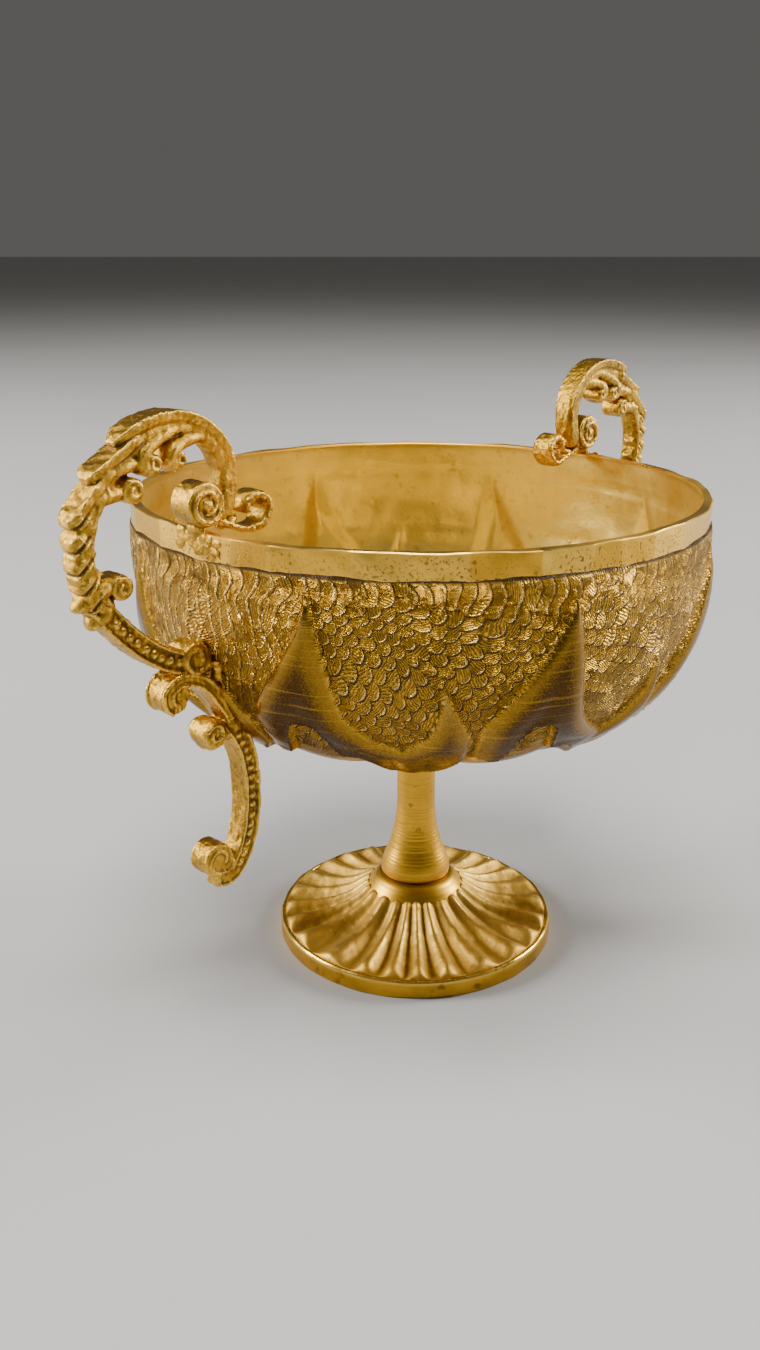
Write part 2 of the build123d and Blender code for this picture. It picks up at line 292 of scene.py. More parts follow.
def bowl_relief(settings, turn, height, radius, reach, points):
    """Outer relief in millimetres, the share of chased ground, and the two pattern maps."""
    in_big, in_small, big = petal_depths(turn, height, radius)
    inside = np.maximum(in_big, in_small)
    roll = settings.petal_roll / MM
    petal = dome(inside, roll)
    hollow = eased(roll, roll * 2.2, inside) * 0.25
    arch = np.exp(-(((big + 3) / 4.6) ** 4))
    edge_z = 70.0 + 9.0 * arch - 4.0 * eased(9, 20, np.abs(big + 3)) + 0.8 * np.sin(np.radians(big * 16))
    below = edge_z - height
    under = eased(-0.5, 0.5, below)
    in_arch = arch * eased(68.5, 71.5, height) * under
    knob = np.exp(-(((big + 1.4) / 2.0) ** 2) - ((height - 73.0) / 2.6) ** 2)
    ground = (1 - eased(-0.2, 0.5, inside)) * (1 - under)
    ground = np.maximum(ground, eased(0.4, 0.6, in_arch))

    lobe = np.abs(np.sin(np.radians((turn - 7.0) * 8)))
    lobe_share = eased(74, 66, height) * eased(7, 22, radius)
    lobes = (np.sqrt(lobe) - 0.75) * settings.lobe_rise / MM * lobe_share

    u = np.radians(turn) * 64
    sway = 1.6 * ripple(points, 15, 4) + 0.75 * ripple(points, 5.6, 14)
    heave = 1.5 * ripple(points, 13, 9) + 0.65 * ripple(points, 5.2, 19)
    girth = 2 * math.pi * 64
    along = (u + sway - reach - heave) / girth * ROWS_ROUND
    across = (u + sway + reach + heave) / girth * COLUMNS_ROUND
    from_band = 109 - height
    belly = np.maximum(1 - ((from_band - 2.6) / 2.6) ** 2, -0.6)
    stroke = (u - 1.1 * belly + 1.6 * ripple(points, 9, 2) + 0.5 * ripple(points, 3.6, 6)) / girth * STROKES_ROUND
    ropes = eased(0.72, 0.86, np.cos(np.radians(2 * turn)) + 0.10 * ripple(points, 9, 23))
    strokes = eased(7.5, 4.0, from_band + 3.0 * ripple(points, 7, 7)) * (0.75 + 0.25 * ripple(points, 8, 27))
    strokes = np.clip(np.maximum(strokes, 0.6 * ropes * eased(34, 26, from_band + 2 * ripple(points, 6, 8))), 0, 1)
    part = stroke - np.floor(stroke)
    tile = scales(along, across) * (1 - 0.6 * strokes) + 0.8 * part * eased(1.0, 0.86, part) * strokes

    rise = settings.petal_rise / MM
    relief = rise * (petal - hollow) * (1 - under) + (rise * 0.35 + lobes) * under
    relief += settings.scale_rise / MM * tile * ground * (1 - eased(0.6, 0, from_band))
    relief += 0.22 * ripple(points, 6, 3) * ground + 0.10 * ripple(points, 11, 5)
    relief += 0.55 * np.exp(-((below / 0.9) ** 2)) * eased(60, 66, height) * (1 - ground)
    relief += (1.1 * knob - 1.3) * in_arch
    relief = relief * eased(-1.2, 0.4, from_band) * eased(4, 10, radius)
    # middle: how far into a petal; the material paints petal middles dark with it as a painted dark reflection.
    soft = inside + 0.9 * ripple(points, 10, 31)
    middle = (0.62 * eased(-0.3, 0.8, inside) + 0.38 * eased(0.5, 6.5, soft)) * (1 - under)
    return relief, ground, (along, across), (stroke, from_band / 5), strokes, middle


def inner_relief(settings, turn, height, radius, points):
    """Relief of the bowl's inside: the petals show as soft hollows."""
    in_big, in_small, big = petal_depths(turn, height, radius)
    inside = np.maximum(in_big, in_small)
    hollow = eased(-1.5, settings.petal_roll / MM * 1.1, inside) * settings.petal_rise / MM * 0.95
    return hollow + 0.12 * ripple(points, 6, 12) + 0.06 * ripple(points, 2.6, 13)


def pattern_map(mesh, name, first, second, wrap):
    """Writes a UV map from two numbers for each vertex, closing the seam where the first pass round ends."""
    corners = np.empty(len(mesh.loops), np.int64)
    mesh.loops.foreach_get("vertex_index", corners)
    starts = np.empty(len(mesh.polygons), np.int64)
    totals = np.empty(len(mesh.polygons), np.int64)
    mesh.polygons.foreach_get("loop_start", starts)
    mesh.polygons.foreach_get("loop_total", totals)
    face = np.repeat(np.arange(len(starts)), totals)
    turn = wrap[0][corners]
    highest = np.maximum.reduceat(turn, starts)[face]
    over = (highest - turn > 180).astype(float)
    uv = np.stack([first[corners] + over * wrap[1], second[corners] + over * wrap[2]], 1)
    layer = mesh.uv_layers.new(name=name)
    layer.data.foreach_set("uv", uv.astype(np.float32).ravel())


class OBJECT_OT_ciborium_bowl(bpy.types.Operator):
    """Chased bowl: the sheet is spun from its section, then raised into petals, scales and lobes"""

    bl_idname = "object.ciborium_bowl"
    bl_label = "Chased bowl"

    def execute(self, context):
        settings = context.scene.ciborium_bowl
        reach, radius, stepped, height, out_r, out_z = bowl_section(settings)
        lip = reach[-1]
        chased_low = np.interp(64.0, height[:5900], reach[:5900])
        chased_top = np.interp(LIP_Z / MM - BAND_HEIGHT / MM, height, reach)
        outer = np.concatenate([
            np.linspace(0, chased_low, 19)[:-1],
            np.linspace(chased_low, chased_top, 84),
            np.linspace(chased_top, lip, 6)[1:],
        ])
        deep = np.interp(76.0, height[:5900], reach[:5900])
        inner = np.concatenate([[lip, lip - 0.12], np.linspace(lip - 0.3, deep, 33), np.linspace(deep, 0, 12)[1:]])
        sheet = settings.sheet / MM
        outline = [(np.interp(s, reach, stepped), np.interp(s, reach, height)) for s in outer]
        for s in inner:
            r = np.interp(s, reach, radius) - sheet * np.interp(s, reach, out_r)
            outline.append((max(r, 0.0), np.interp(s, reach, height) - sheet * np.interp(s, reach, out_z)))
        outline[-1] = (0.0, outline[-1][1])
        marks = list(outer) + [-1 - s for s in inner]
        bowl = spun(outline, settings.steps, marks=marks)
        mesh = bowl.data

        points = points_of(mesh)
        mark = marks_of(mesh)
        within = mark < -0.5
        s = np.where(within, -1 - mark, mark)
        turn = np.degrees(np.arctan2(points[:, 1], points[:, 0])) % 360
        ring_r, ring_z = np.interp(s, reach, radius), np.interp(s, reach, height)
        relief, ground, chase, stroke, strokes, middle = bowl_relief(settings, turn, ring_z, ring_r, s, points)
        hollow = inner_relief(settings, turn, ring_z, ring_r, points)
        hollow *= eased(LIP_Z / MM - 1.5, LIP_Z / MM - 6, ring_z) * eased(8, 30, ring_r)
        hollow -= 0.95 * eased(96, 113, ring_z)
        lift = np.where(within, np.minimum(hollow, relief + 0.25), relief)
        normal_r, normal_z = np.interp(s, reach, out_r), np.interp(s, reach, out_z)
        way = np.radians(turn)
        moved = points + np.stack([np.cos(way) * normal_r, np.sin(way) * normal_r, normal_z], 1) * lift[:, None]
        set_points(mesh, moved)

        paint(mesh, "ground", np.where(within, 0, ground))
        paint(mesh, "strokes", strokes)
        # middle sets where the petals get their painted dark reflection.
        paint(mesh, "middle", np.where(within, 0, middle))
        from_band = LIP_Z / MM - BAND_HEIGHT / MM - ring_z
        joint = np.where(within, 0.4 * eased(LIP_Z / MM - 1.0, LIP_Z / MM - 0.6, ring_z), eased(0.45, 0.05, from_band))
        paint(mesh, "joint", joint)
        # low: rises towards the bottom; the material darkens the underside with it as a painted dark reflection.
        paint(mesh, "low", np.where(within, 0, eased(82, 64, ring_z)))
        pattern_map(mesh, "chase", chase[0], chase[1], (turn, ROWS_ROUND, COLUMNS_ROUND))
        pattern_map(mesh, "stroke", stroke[0], stroke[1], (turn, STROKES_ROUND, 0))

        finish = context.scene.ciborium_finish
        mesh.materials.append(chased_gilt(finish))
        mesh.materials.append(smooth_gilt(finish))
        inside_face = within[[p.vertices[0] for p in mesh.polygons]] & within[[p.vertices[2] for p in mesh.polygons]]
        mesh.polygons.foreach_set("material_index", inside_face.astype(np.int32))
        finished(bowl, "chased_bowl", "bowl_gilt", "bowl")
        return {"FINISHED"}


# ---------------------------------------------------------------- hammered band
class OBJECT_OT_ciborium_band(bpy.types.Operator):
    """Hammered band: a spun strap, flattened facet by facet, with edges that wander"""

    bl_idname = "object.ciborium_band"
    bl_label = "Hammered band"

    def execute(self, context):
        settings = context.scene.ciborium_band
        outer, high = settings.radius / MM, LIP_Z / MM
        low = high - settings.height / MM
        inner = outer - settings.thickness / MM
        rows = [(outer, z) for z in np.linspace(low + 0.25, high - 0.2, 9)]
        fold = outer - 2.2
        outline = [(inner + 0.05, low), (outer - 0.2, low), *rows, (outer - 0.2, high), (fold + 0.2, high)]
        outline += [(fold, high - 0.2), (fold + 0.1, high - 0.6), (inner + 0.05, high - 0.6)]
        band = spun(outline, 768, closed=True)
        mesh = band.data
        points = points_of(mesh)
        turn = np.degrees(np.arctan2(points[:, 1], points[:, 0])) % 360
        rng = np.random.default_rng(21)
        widths = rng.uniform(0.6, 1.5, settings.facets)
        ends = np.cumsum(widths) / widths.sum() * 360
        starts = np.append(0, ends[:-1])
        which = np.searchsorted(ends, turn, side="right") % settings.facets
        middle = (starts + ends)[which] / 2
        half = np.radians((ends - starts)[which] / 2)
        off = np.radians(turn - middle)
        flat = outer * (np.cos(half) / np.cos(off) - 1) * 0.75
        tilt = rng.uniform(-0.035, 0.035, settings.facets)[which] * (points[:, 2] - (low + high) / 2)
        level = (points[:, 2] - low) / (high - low)
        wander_low = 0.8 * np.sin(np.radians(turn * 9) + 1) + 0.6 * np.sin(np.radians(turn * 23)) \
            + 0.35 * np.sin(np.radians(turn * 41) + 2)
        wander_high = 0.7 * np.sin(np.radians(turn * 7)) + 0.6 * np.sin(np.radians(turn * 17) + 2) \
            + 0.4 * np.sin(np.radians(turn * 29) + 4)
        wander = (wander_low * (1 - level) + 0.6 * wander_high * level) * settings.wander / MM
        dents = 0.05 * ripple(points, 1.8, 33) + 0.05 * ripple(points, 4, 34)
        radius = np.hypot(points[:, 0], points[:, 1])
        out = (flat + tilt + dents) * eased(inner - 0.4, inner + 0.5, radius)
        wander = wander * np.where(radius < inner + 0.02, 0.35, 1)
        way = np.radians(turn)
        points += np.stack([np.cos(way) * out, np.sin(way) * out, wander], 1)
        set_points(mesh, points)
        shade = rng.uniform(0, 1, settings.facets)
        paint(mesh, "facet", shade[which])
        paint(mesh, "top", eased(high - 1.0, high - 0.4, points[:, 2]))
        mesh.materials.append(hammered_gilt(context.scene.ciborium_finish))
        only(band)
        bpy.ops.object.shade_smooth_by_angle(angle=math.radians(32))
        finished(band, "hammered_band", "band_gilt", "rim_band")
        return {"FINISHED"}


# ---------------------------------------------------------------- stem and foot
def stem_outline(settings):
    """The stem from under the boss down to the groove, as (radius, height) in millimetres."""
    waist, top = settings.waist / MM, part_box("stem")[1].z / MM
    flare = [(34.0, waist), (28.8, 5.27), (25.9, 5.88), (23.0, 6.67), (20.1, 7.86), (18.0, 8.5), (17.2, 8.66)]
    heights = np.arange(17.2, top, 0.22)
    known_z = [z for z, _ in reversed(flare)] + [50.0, top - 1.2, top]
    known_r = [r for _, r in reversed(flare)] + [waist, waist + 0.25, waist + 0.9]
    radii = np.interp(heights, known_z, known_r)
    soft = np.convolve(np.pad(radii, 9, mode="edge"), np.hanning(19) / np.hanning(19).sum(), mode="valid")
    rings = settings.ring_depth / MM * (eased(18.5, 20, heights) * eased(33, 29, heights) + 0.25)
    marks = np.sin(heights * 5.6 + 2 * np.sin(heights * 0.9)) + 0.8 * np.sin(heights * 8.3 + 1)
    body = list(zip(soft + rings * marks, heights))
    lip = [(8.3, 15.75), (8.5, 15.82), (8.62, 16.1), (8.66, 16.6)]
    groove = [(0.0, 14.3), (7.6, 14.3), (7.7, 14.9), (7.8, 15.6)]
    return groove + lip + body + [(waist, top), (0.0, top)]


class OBJECT_OT_ciborium_stem(bpy.types.Operator):
    """Turned stem and collar, spun from their sections with the marks of the lathe"""

    bl_idname = "object.ciborium_stem"
    bl_label = "Stem and collar"

    def execute(self, context):
        settings = context.scene.ciborium_foot
        finish = context.scene.ciborium_finish
        stem = spun(stem_outline(settings), 128)
        paint(stem.data, "groove", 0.5 * eased(16.0, 15.6, points_of(stem.data)[:, 2]))
        stem.data.materials.append(turned_gilt(finish))
        finished(stem, "turned_stem", "turned_gilt", "stem")

        low, high = COLLAR_LOW.z / MM, COLLAR_HIGH.z / MM
        side = [(13.2, low), (12.6, low + 0.9), (12.1, low + 1.7), (11.6, low + 2.5), (11.1, low + 3.2)]
        side += [(10.6, low + 3.8), (10.1, high - 0.2), (9.5, high + 0.3), (8.7, high + 0.62), (7.9, high + 0.7)]
        side += [(5.7, high + 0.6), (5.7, low)]
        collar = spun(side, 128, closed=True)
        modified(collar, "BEVEL", width=0.12 * MM, segments=2)
        paint(collar.data, "groove", 0.35 * eased(high + 0.35, high + 0.65, points_of(collar.data)[:, 2]))
        collar.data.materials.append(turned_gilt(finish))
        finished(collar, "turned_collar", "turned_gilt", "foot_collar")
        return {"FINISHED"}


class OBJECT_OT_ciborium_foot(bpy.types.Operator):
    """Fluted foot and its edge hoop: a spun dish raised into rounded flutes"""

    bl_idname = "object.ciborium_foot"
    bl_label = "Fluted foot"

    def execute(self, context):
        settings = context.scene.ciborium_foot
        finish = context.scene.ciborium_finish
        edge, crown = settings.foot_radius / MM - 1.2, settings.crown / MM
        radii = np.linspace(5.0, edge, 64)
        inner_end = 11.3
        share = np.clip((radii - inner_end) / (edge - inner_end), 0, 1)
        level = HOOP_TOP / MM - 0.15
        top = np.where(radii < inner_end, crown - 0.1, level + (crown + 2.4 - level) * (1 - share) ** 2.7)
        thick = 1.4
        outline = list(zip(radii, top)) + [(r, z - thick) for r, z in zip(radii[::-3], top[::-3])]
        foot = spun(outline, settings.flutes * 20, closed=True, marks=[1] * len(radii) + [0] * len(radii[::-3]))
        mesh = foot.data
        points = points_of(mesh)
        upper = marks_of(mesh) > 0.5
        radius = np.hypot(points[:, 0], points[:, 1])
        turn = np.arctan2(points[:, 1], points[:, 0])
        uneven = 0.05 * np.sin(turn * 3 + 1) + 0.04 * np.sin(turn * 5)
        wave = 0.5 + 0.5 * np.cos((turn + uneven) * settings.flutes)
        share = np.clip((radius - inner_end) / (edge - inner_end), 0, 1)
        rise = settings.flute_rise / MM * (0.5 + 0.55 * eased(0.1, 0.95, share)) * eased(-0.03, 0.08, share)
        rounded_end = dome(edge - 0.1 - radius, 3.6)
        sharp = 0.75 + 0.5 * ripple(points, 7, 43)
        lift = rise * wave**np.clip(sharp + 0.2, 0.8, 1.4) * rounded_end - 0.25 * (1 - wave) * rounded_end * eased(0.0, 0.15, share)
        lift += 0.08 * ripple(points, 3.0, 41) + 0.05 * ripple(points, 1.2, 42)
        points[:, 2] += np.where(upper, lift, lift * 0.5)
        set_points(mesh, points)
        # ridge: share of a flute's crest, which the material paints pale as a painted highlight, with painted shade in
        # the grooves between.
        paint(mesh, "ridge", eased(0.35, 0.98, wave) * rounded_end)
        paint(mesh, "outward", share)
        mesh.materials.append(fluted_gilt(finish))
        finished(foot, "fluted_foot", "foot_gilt", "foot")

        outer, high = settings.foot_radius / MM, HOOP_TOP / MM
        section = [(edge - 0.05, 0.15), (edge + 0.1, 0), (outer - 0.35, 0), (outer - 0.08, 0.12), (outer, 0.45)]
        section += [(outer, high - 1.3), (outer - 0.1, high - 0.55), (outer - 0.35, high - 0.1)]
        section += [(edge + 0.35, high + 0.05), (edge + 0.05, high - 0.15), (edge - 0.05, high - 0.6)]
        hoop = spun(section, 384, closed=True)
        points = points_of(hoop.data)
        turn = np.arctan2(points[:, 1], points[:, 0])
        bumps = 0.05 * np.sin(turn * 11) + 0.04 * np.sin(turn * 27 + 2)
        points[:, 2] += np.where(points[:, 2] > 2, bumps * 1.2, 0)
        points[:, :2] *= (1 + 0.0012 * bumps[:, None] / 0.05)
        set_points(hoop.data, points)
        paint(hoop.data, "edge", eased(high - 1.2, high - 0.4, points[:, 2]))
        hoop.data.materials.append(hoop_gilt(finish))
        finished(hoop, "foot_edge_hoop", "foot_gilt", "foot_hoop")
        return {"FINISHED"}


# ---------------------------------------------------------------- cast handles
ARM = [(59.4, 116.8), (57.9, 121.0), (57.9, 126.0), (60.2, 130.4), (64.4, 133.8), (69.4, 135.0), (75.2, 134.0),
       (80.6, 131.0), (85.2, 126.8), (88.8, 122.2), (90.7, 117.4), (91.1, 112.9), (90.5, 108.6), (89.0, 104.9),
       (86.5, 101.4), (83.3, 97.8), (79.5, 94.3), (75.0, 91.2), (70.4, 89.2), (68.0, 88.4)]
RIM_CURL = [(60.6, 115.8), (57.0, 114.2), (53.4, 112.9), (50.0, 113.3), (47.9, 115.6), (48.4, 118.2), (50.9, 119.4),
            (53.2, 118.2), (53.0, 116.2)]
BRACKET = [(71.4, 81.6), (73.2, 80.6), (75.2, 81.6), (75.4, 84.2), (73.0, 86.0), (69.8, 85.9), (66.6, 84.2),
           (63.6, 81.0), (61.3, 77.4), (60.0, 75.0)]
TAIL = [(61.0, 75.2), (58.2, 71.2), (56.0, 66.2), (55.1, 60.8), (55.0, 55.6), (55.6, 50.4), (57.0, 45.4), (59.2, 41.4),
        (62.0, 39.2), (65.0, 39.6)]


LEAVES = [(81.6, 128.6, 5.2, 1.8, -12), (85.4, 123.9, 6.0, 1.9, -8), (88.6, 106.6, 5.4, 1.9, -27), (87.8, 102.6, 3.6, 2.1, -42)]
SCALE_TIPS = [(93.4, 119.2), (93.5, 115.2), (93.3, 111.2), (92.6, 107.4)]
CREASES = [((x + 0.2, z - 0.9), (x - 3.5, z + 2.5), 0.60) for x, z in [(93.6, 123.0), *SCALE_TIPS, (91.6, 103.9)]]
STRANDS = [
    ([(58.6, 130.0), (62.0, 132.0), (66.2, 132.0), (70.0, 130.8), (71.2, 128.6), (69.6, 127.4)], [0.5, 0.8, 1.0, 1.1, 1.25, 1.1]),
    ([(63.5, 134.0), (69.0, 134.2), (73.4, 132.8), (77.0, 130.6), (77.4, 128.4), (75.6, 127.4)], [0.6, 0.9, 1.0, 1.1, 1.25, 1.1]),
]
KNOBS = [(80.2, 124.3, 2.4), (75.4, 128.4, 1.9), (69.6, 128.6, 1.6), (84.0, 107.2, 2.4)]


def smooth_path(corners, step=0.35):
    """Even points along a soft curve through the corners, and the unit direction at each."""
    p = np.array(corners, float)
    p = np.vstack([2 * p[0] - p[1], p, 2 * p[-1] - p[-2]])
    t = np.linspace(0, 1, 30, endpoint=False)[:, None]
    spans = []
    for a, b, c, d in zip(p, p[1:], p[2:], p[3:]):
        spans.append(0.5 * (2 * b + (c - a) * t + (2 * a - 5 * b + 4 * c - d) * t**2 + (3 * b - a - 3 * c + d) * t**3))
    dense = np.vstack(spans + [p[-2:-1]])
    run = np.append(0, np.cumsum(np.hypot(*np.diff(dense, axis=0).T)))
    even = np.linspace(0, run[-1], max(4, int(run[-1] / step)))
    line = np.stack([np.interp(even, run, dense[:, 0]), np.interp(even, run, dense[:, 1])], 1)
    way = np.gradient(line, axis=0)
    return line, way / np.hypot(way[:, 0], way[:, 1])[:, None], even


def section_curve(points):
    """Closed outline for a bar's section: first number across the bar in its plane, second along its width."""
    curve = bpy.data.curves.new("section", "CURVE")
    curve.dimensions = "2D"
    spline = curve.splines.new("POLY")
    spline.points.add(len(points) - 1)
    for point, (x, y) in zip(spline.points, points):
        point.co = (x * MM, y * MM, 0, 1)
    spline.use_cyclic_u = True
    section = bpy.data.objects.new("section", curve)
    bpy.context.scene.collection.objects.link(section)
    return section


def round_bar(half_thick, half_wide, corner=0.55):
    """Section of a plain bar with rounded corners."""
    points = []
    for i in range(24):
        a = 2 * math.pi * i / 24
        c, s = math.cos(a), math.sin(a)
        points.append((half_thick * math.copysign(abs(c) ** corner, c), half_wide * math.copysign(abs(s) ** corner, s)))
    return points


def channel_bar(half_thick, half_wide, wall=0.75, sink=0.55):
    """Section of a bar with a sunk channel between two raised rims on each side face."""
    floor, inner = half_wide - sink, half_thick - wall
    quarter = [(half_thick, half_wide - 0.4), (half_thick - 0.3, half_wide), (inner + 0.15, half_wide), (inner - 0.15, floor)]
    upper = quarter + [(-x, y) for x, y in reversed(quarter)]
    return upper + [(-x, -y) for x, y in upper]


def bar(line, section, radii):
    """Bar along a line in the handle's plane, scaled at each point."""
    curve = bpy.data.curves.new("bar", "CURVE")
    curve.dimensions = "2D"
    spline = curve.splines.new("POLY")
    spline.points.add(len(line) - 1)
    for point, (x, z), radius in zip(spline.points, line, radii):
        point.co = (x * MM, z * MM, 0, 1)
        point.radius = radius
    shape = section_curve(section)
    curve.bevel_mode = "OBJECT"
    curve.bevel_object = shape
    curve.use_fill_caps = True
    piece = bpy.data.objects.new("bar", curve)
    bpy.context.scene.collection.objects.link(piece)
    only(piece)
    bpy.ops.object.convert(target="MESH")
    piece = bpy.context.object
    piece.data.transform(Matrix.Rotation(math.pi / 2, 4, "X"))
    bpy.data.objects.remove(shape)
    return piece


def lump(centre, size, turn=0.0, level=16):
    """Ellipsoid at (x, y, z); turn, in degrees, tips it in the handle's plane."""
    nothing_selected()
    bpy.ops.mesh.primitive_uv_sphere_add(segments=level * 2, ring_count=level, radius=1)
    piece = bpy.context.object
    move = Matrix.Translation(Vector(centre) * MM) @ Matrix.Rotation(-math.radians(turn), 4, "Y")
    piece.data.transform(move @ Matrix.Diagonal((size[0] * MM, size[1] * MM, size[2] * MM, 1)))
    return piece


def stamped(piece, matrix):
    """A copy of a piece with its own mesh, moved by a matrix."""
    copy = piece.copy()
    copy.data = piece.data.copy()
    copy.data.transform(matrix)
    bpy.context.scene.collection.objects.link(copy)
    return copy


def roller(x, z, radius, width):
    """Round end of a scroll: a short bevelled cylinder across the handle's plane."""
    nothing_selected()
    bpy.ops.mesh.primitive_cylinder_add(vertices=48, radius=radius * MM, depth=width * MM)
    piece = bpy.context.object
    modified(piece, "BEVEL", width=0.5 * MM, segments=3)
    piece.data.transform(Matrix.Translation((x * MM, 0, z * MM)) @ Matrix.Rotation(math.pi / 2, 4, "X"))
    return piece


def spiral(x, z, outer, inner, turns, start, height, wire):
    """Raised spiral on both faces of a scroll end."""
    pieces = []
    count = int(36 * abs(turns))
    angles = np.radians(start) + np.linspace(0, 2 * math.pi * turns, count)
    radii = np.linspace(outer, inner, count)
    line = np.stack([x + radii * np.cos(angles), z + radii * np.sin(angles)], 1)
    for side in (-1, 1):
        piece = bar(line, round_bar(wire, wire, 1.0), np.linspace(1, 0.8, count))
        piece.data.transform(Matrix.Translation((0, side * height * MM, 0)))
        pieces.append(piece)
    return pieces


def eye(x, z, radius, height):
    """Round boss on both faces of a scroll end."""
    return [lump((x, side * height, z), (radius, radius * 0.7, radius)) for side in (-1, 1)]


def beads(line, way, run, first, last, settings, shift=0.0):
    """Row of beads along both side faces of a bar, from one distance along it to another."""
    radius, pitch = settings.bead / MM, settings.bead_pitch / MM
    half = settings.width / MM / 2
    template = lump((0, 0, 0), (radius, radius * 0.9, radius), level=8)
    pieces = []
    for place in np.arange(first, last, pitch):
        i = int(np.searchsorted(run, place))
        normal = np.array([-way[i, 1], way[i, 0]])
        x, z = line[i] + normal * shift
        for side in (-1, 1):
            at = Vector((x, side * (half - 0.75), z)) * MM
            pieces.append(stamped(template, Matrix.Translation(at)))
    bpy.data.objects.remove(template)
    return pieces


def edge_cords(line, way, offset, height, wire, first, last):
    """Thin raised cords that follow a bar on both side faces."""
    pieces = []
    normal = np.stack([-way[:, 1], way[:, 0]], 1)
    path = (line + normal * offset)[first:last]
    for side in (-1, 1):
        piece = bar(path, round_bar(wire, wire, 1.0), np.ones(len(path)))
        piece.data.transform(Matrix.Translation((0, side * height * MM, 0)))
        pieces.append(piece)
    return pieces


def leaf_on(line, way, first, last, rise, lift, wide=2.95):
    """Leaf with sharp lower edges that lies on the outer side of a bar and ends in a lifted tip."""
    normal = np.stack([-way[:, 1], way[:, 0]], 1)
    share = np.linspace(0, 1, last - first)
    path = line[first:last] + normal[first:last] * (rise + lift * share**2.2)[:, None]
    girth = dome(share + 0.03, 0.30) * np.clip(dome(1.01 - share, 0.16), 0.45, 1)
    half = [(-1.5, wide - 0.1), (-1.25, wide + 0.02), (0.1, wide - 0.15), (0.8, wide - 0.75), (1.2, wide - 1.7), (1.4, 0.5)]
    return bar(path, half + [(x, -y) for x, y in reversed(half)], girth)


def strand(corners, half_thick, half_wide, radii, corner=0.8):
    """Rounded strand through a few corners, its size given at each."""
    line, way, run = smooth_path(corners)
    return bar(line, round_bar(half_thick, half_wide, corner), np.interp(run, np.linspace(0, run[-1], len(radii)), radii))


def crease_depth(points, creases):
    """How deep the chaser's cuts go at each point; a cut is a line in the handle's plane, right across it."""
    cut = np.zeros(len(points))
    for (x0, z0), (x1, z1), deep in creases:
        run_x, run_z = x1 - x0, z1 - z0
        share = ((points[:, 0] - x0) * run_x + (points[:, 2] - z0) * run_z) / (run_x**2 + run_z**2)
        share = np.clip(share, 0, 1)
        away = np.hypot(points[:, 0] - x0 - share * run_x, points[:, 2] - z0 - share * run_z)
        cut = np.maximum(cut, deep * np.exp(-((away / 0.30) ** 2)) * (0.35 + 0.65 * np.sin(math.pi * share)))
    return cut


def cast(parts, name, settings, seed, creases=()):
    """Fuses a casting's parts into one skin, softens it and gives it the rough grain of the mould."""
    nothing_selected()
    for part in parts:
        part.select_set(True)
    bpy.context.view_layer.objects.active = parts[0]
    bpy.ops.object.join()
    piece = bpy.context.object
    modified(piece, "REMESH", mode="VOXEL", voxel_size=settings.voxel, use_smooth_shade=True)
    modified(piece, "SMOOTH", factor=0.5, iterations=1)
    mesh = piece.data
    points = points_of(mesh)
    normals = np.empty(len(mesh.vertices) * 3)
    mesh.vertices.foreach_get("normal", normals)
    normals = normals.reshape(-1, 3)
    grain = settings.grain / MM
    lift = grain * (0.4 * ripple(points, 1.5, seed) + 0.35 * ripple(points, 0.7, seed + 1))
    lift -= crease_depth(points, creases)
    set_points(mesh, points + normals * lift[:, None])
    piece.name = name
    only(piece)
    bpy.ops.object.shade_smooth()
    return piece


def upper_arm_parts(settings):
    """Main scroll: shank, leaves over the top, scales down the back, channelled lower arm, curls and volute."""
    line, way, run = smooth_path(ARM)
    half, wide = settings.thickness / MM / 2, settings.width / MM / 2

    def at(share):
        return int(np.searchsorted(run, run[-1] * share))

    shank = np.interp(run, run[-1] * np.array([0, 0.12, 0.3, 0.5, 0.56]), [1.0, 0.98, 0.84, 0.86, 1.0])
    parts = [bar(line[: at(0.72)], round_bar(half, wide), shank[: at(0.72)])]
    parts.append(bar(line[at(0.70):], channel_bar(half + 0.2, wide), np.linspace(0.95, 1.0, len(line) - at(0.70))))
    parts += beads(line, way, run, run[-1] * 0.72, run[-1] - 4.5, settings)
    parts.append(leaf_on(line, way, at(0.05), at(0.405), 0.35, 2.1))
    parts.append(leaf_on(line, way, at(0.34), at(0.485), 0.0, 2.7))
    parts.append(leaf_on(line, way, at(0.42), at(0.565), 0.0, 2.0))
    for x, z, long, thick, turn in LEAVES:
        parts.append(lump((x, 0, z), (long, wide + 0.25, thick), turn))
    for x, z in SCALE_TIPS:
        feather = [(x - 4.6, z + 3.8), (x - 3.0, z + 2.5), (x - 1.4, z + 1.0), (x - 0.3, z - 0.1)]
        parts.append(strand(feather, 1.8, wide + 0.2, [0.52, 0.76, 0.96, 1.04, 0.92, 0.50], 0.5))
    inward = np.stack([way[:, 1], -way[:, 0]], 1)
    spine = (line + inward * 1.15)[at(0.47): at(0.71)]
    parts.append(bar(spine, round_bar(0.95, wide - 0.05), np.ones(len(spine))))
    for corners, radii in STRANDS:
        parts.append(strand(corners, 1.35, wide - 0.1, radii))
    for x, z, radius in KNOBS:
        parts.append(roller(x, z, radius, settings.width / MM + 0.2))
        parts += spiral(x, z, radius - 0.5, 0.5, 1.0, 60, wide + 0.05, 0.45)
    # volute on the rim
    x, z = 64.1, 119.4
    parts.append(roller(x, z, 4.3, settings.width / MM + 0.6))
    parts += spiral(x, z, 3.75, 1.5, 1.25, 200, wide + 0.35, 0.62)
    parts += eye(x, z, 1.2, wide + 0.35)
    parts.append(lump((60.2, 0, 117.2), (2.4, 2.7, 2.6)))
    # roll at the wall
    x, z = 68.4, 89.8
    parts.append(roller(x, z, 3.3, settings.width / MM + 0.5))
    parts += spiral(x, z, 2.8, 1.5, 0.9, 240, wide + 0.15, 0.6)
    return parts


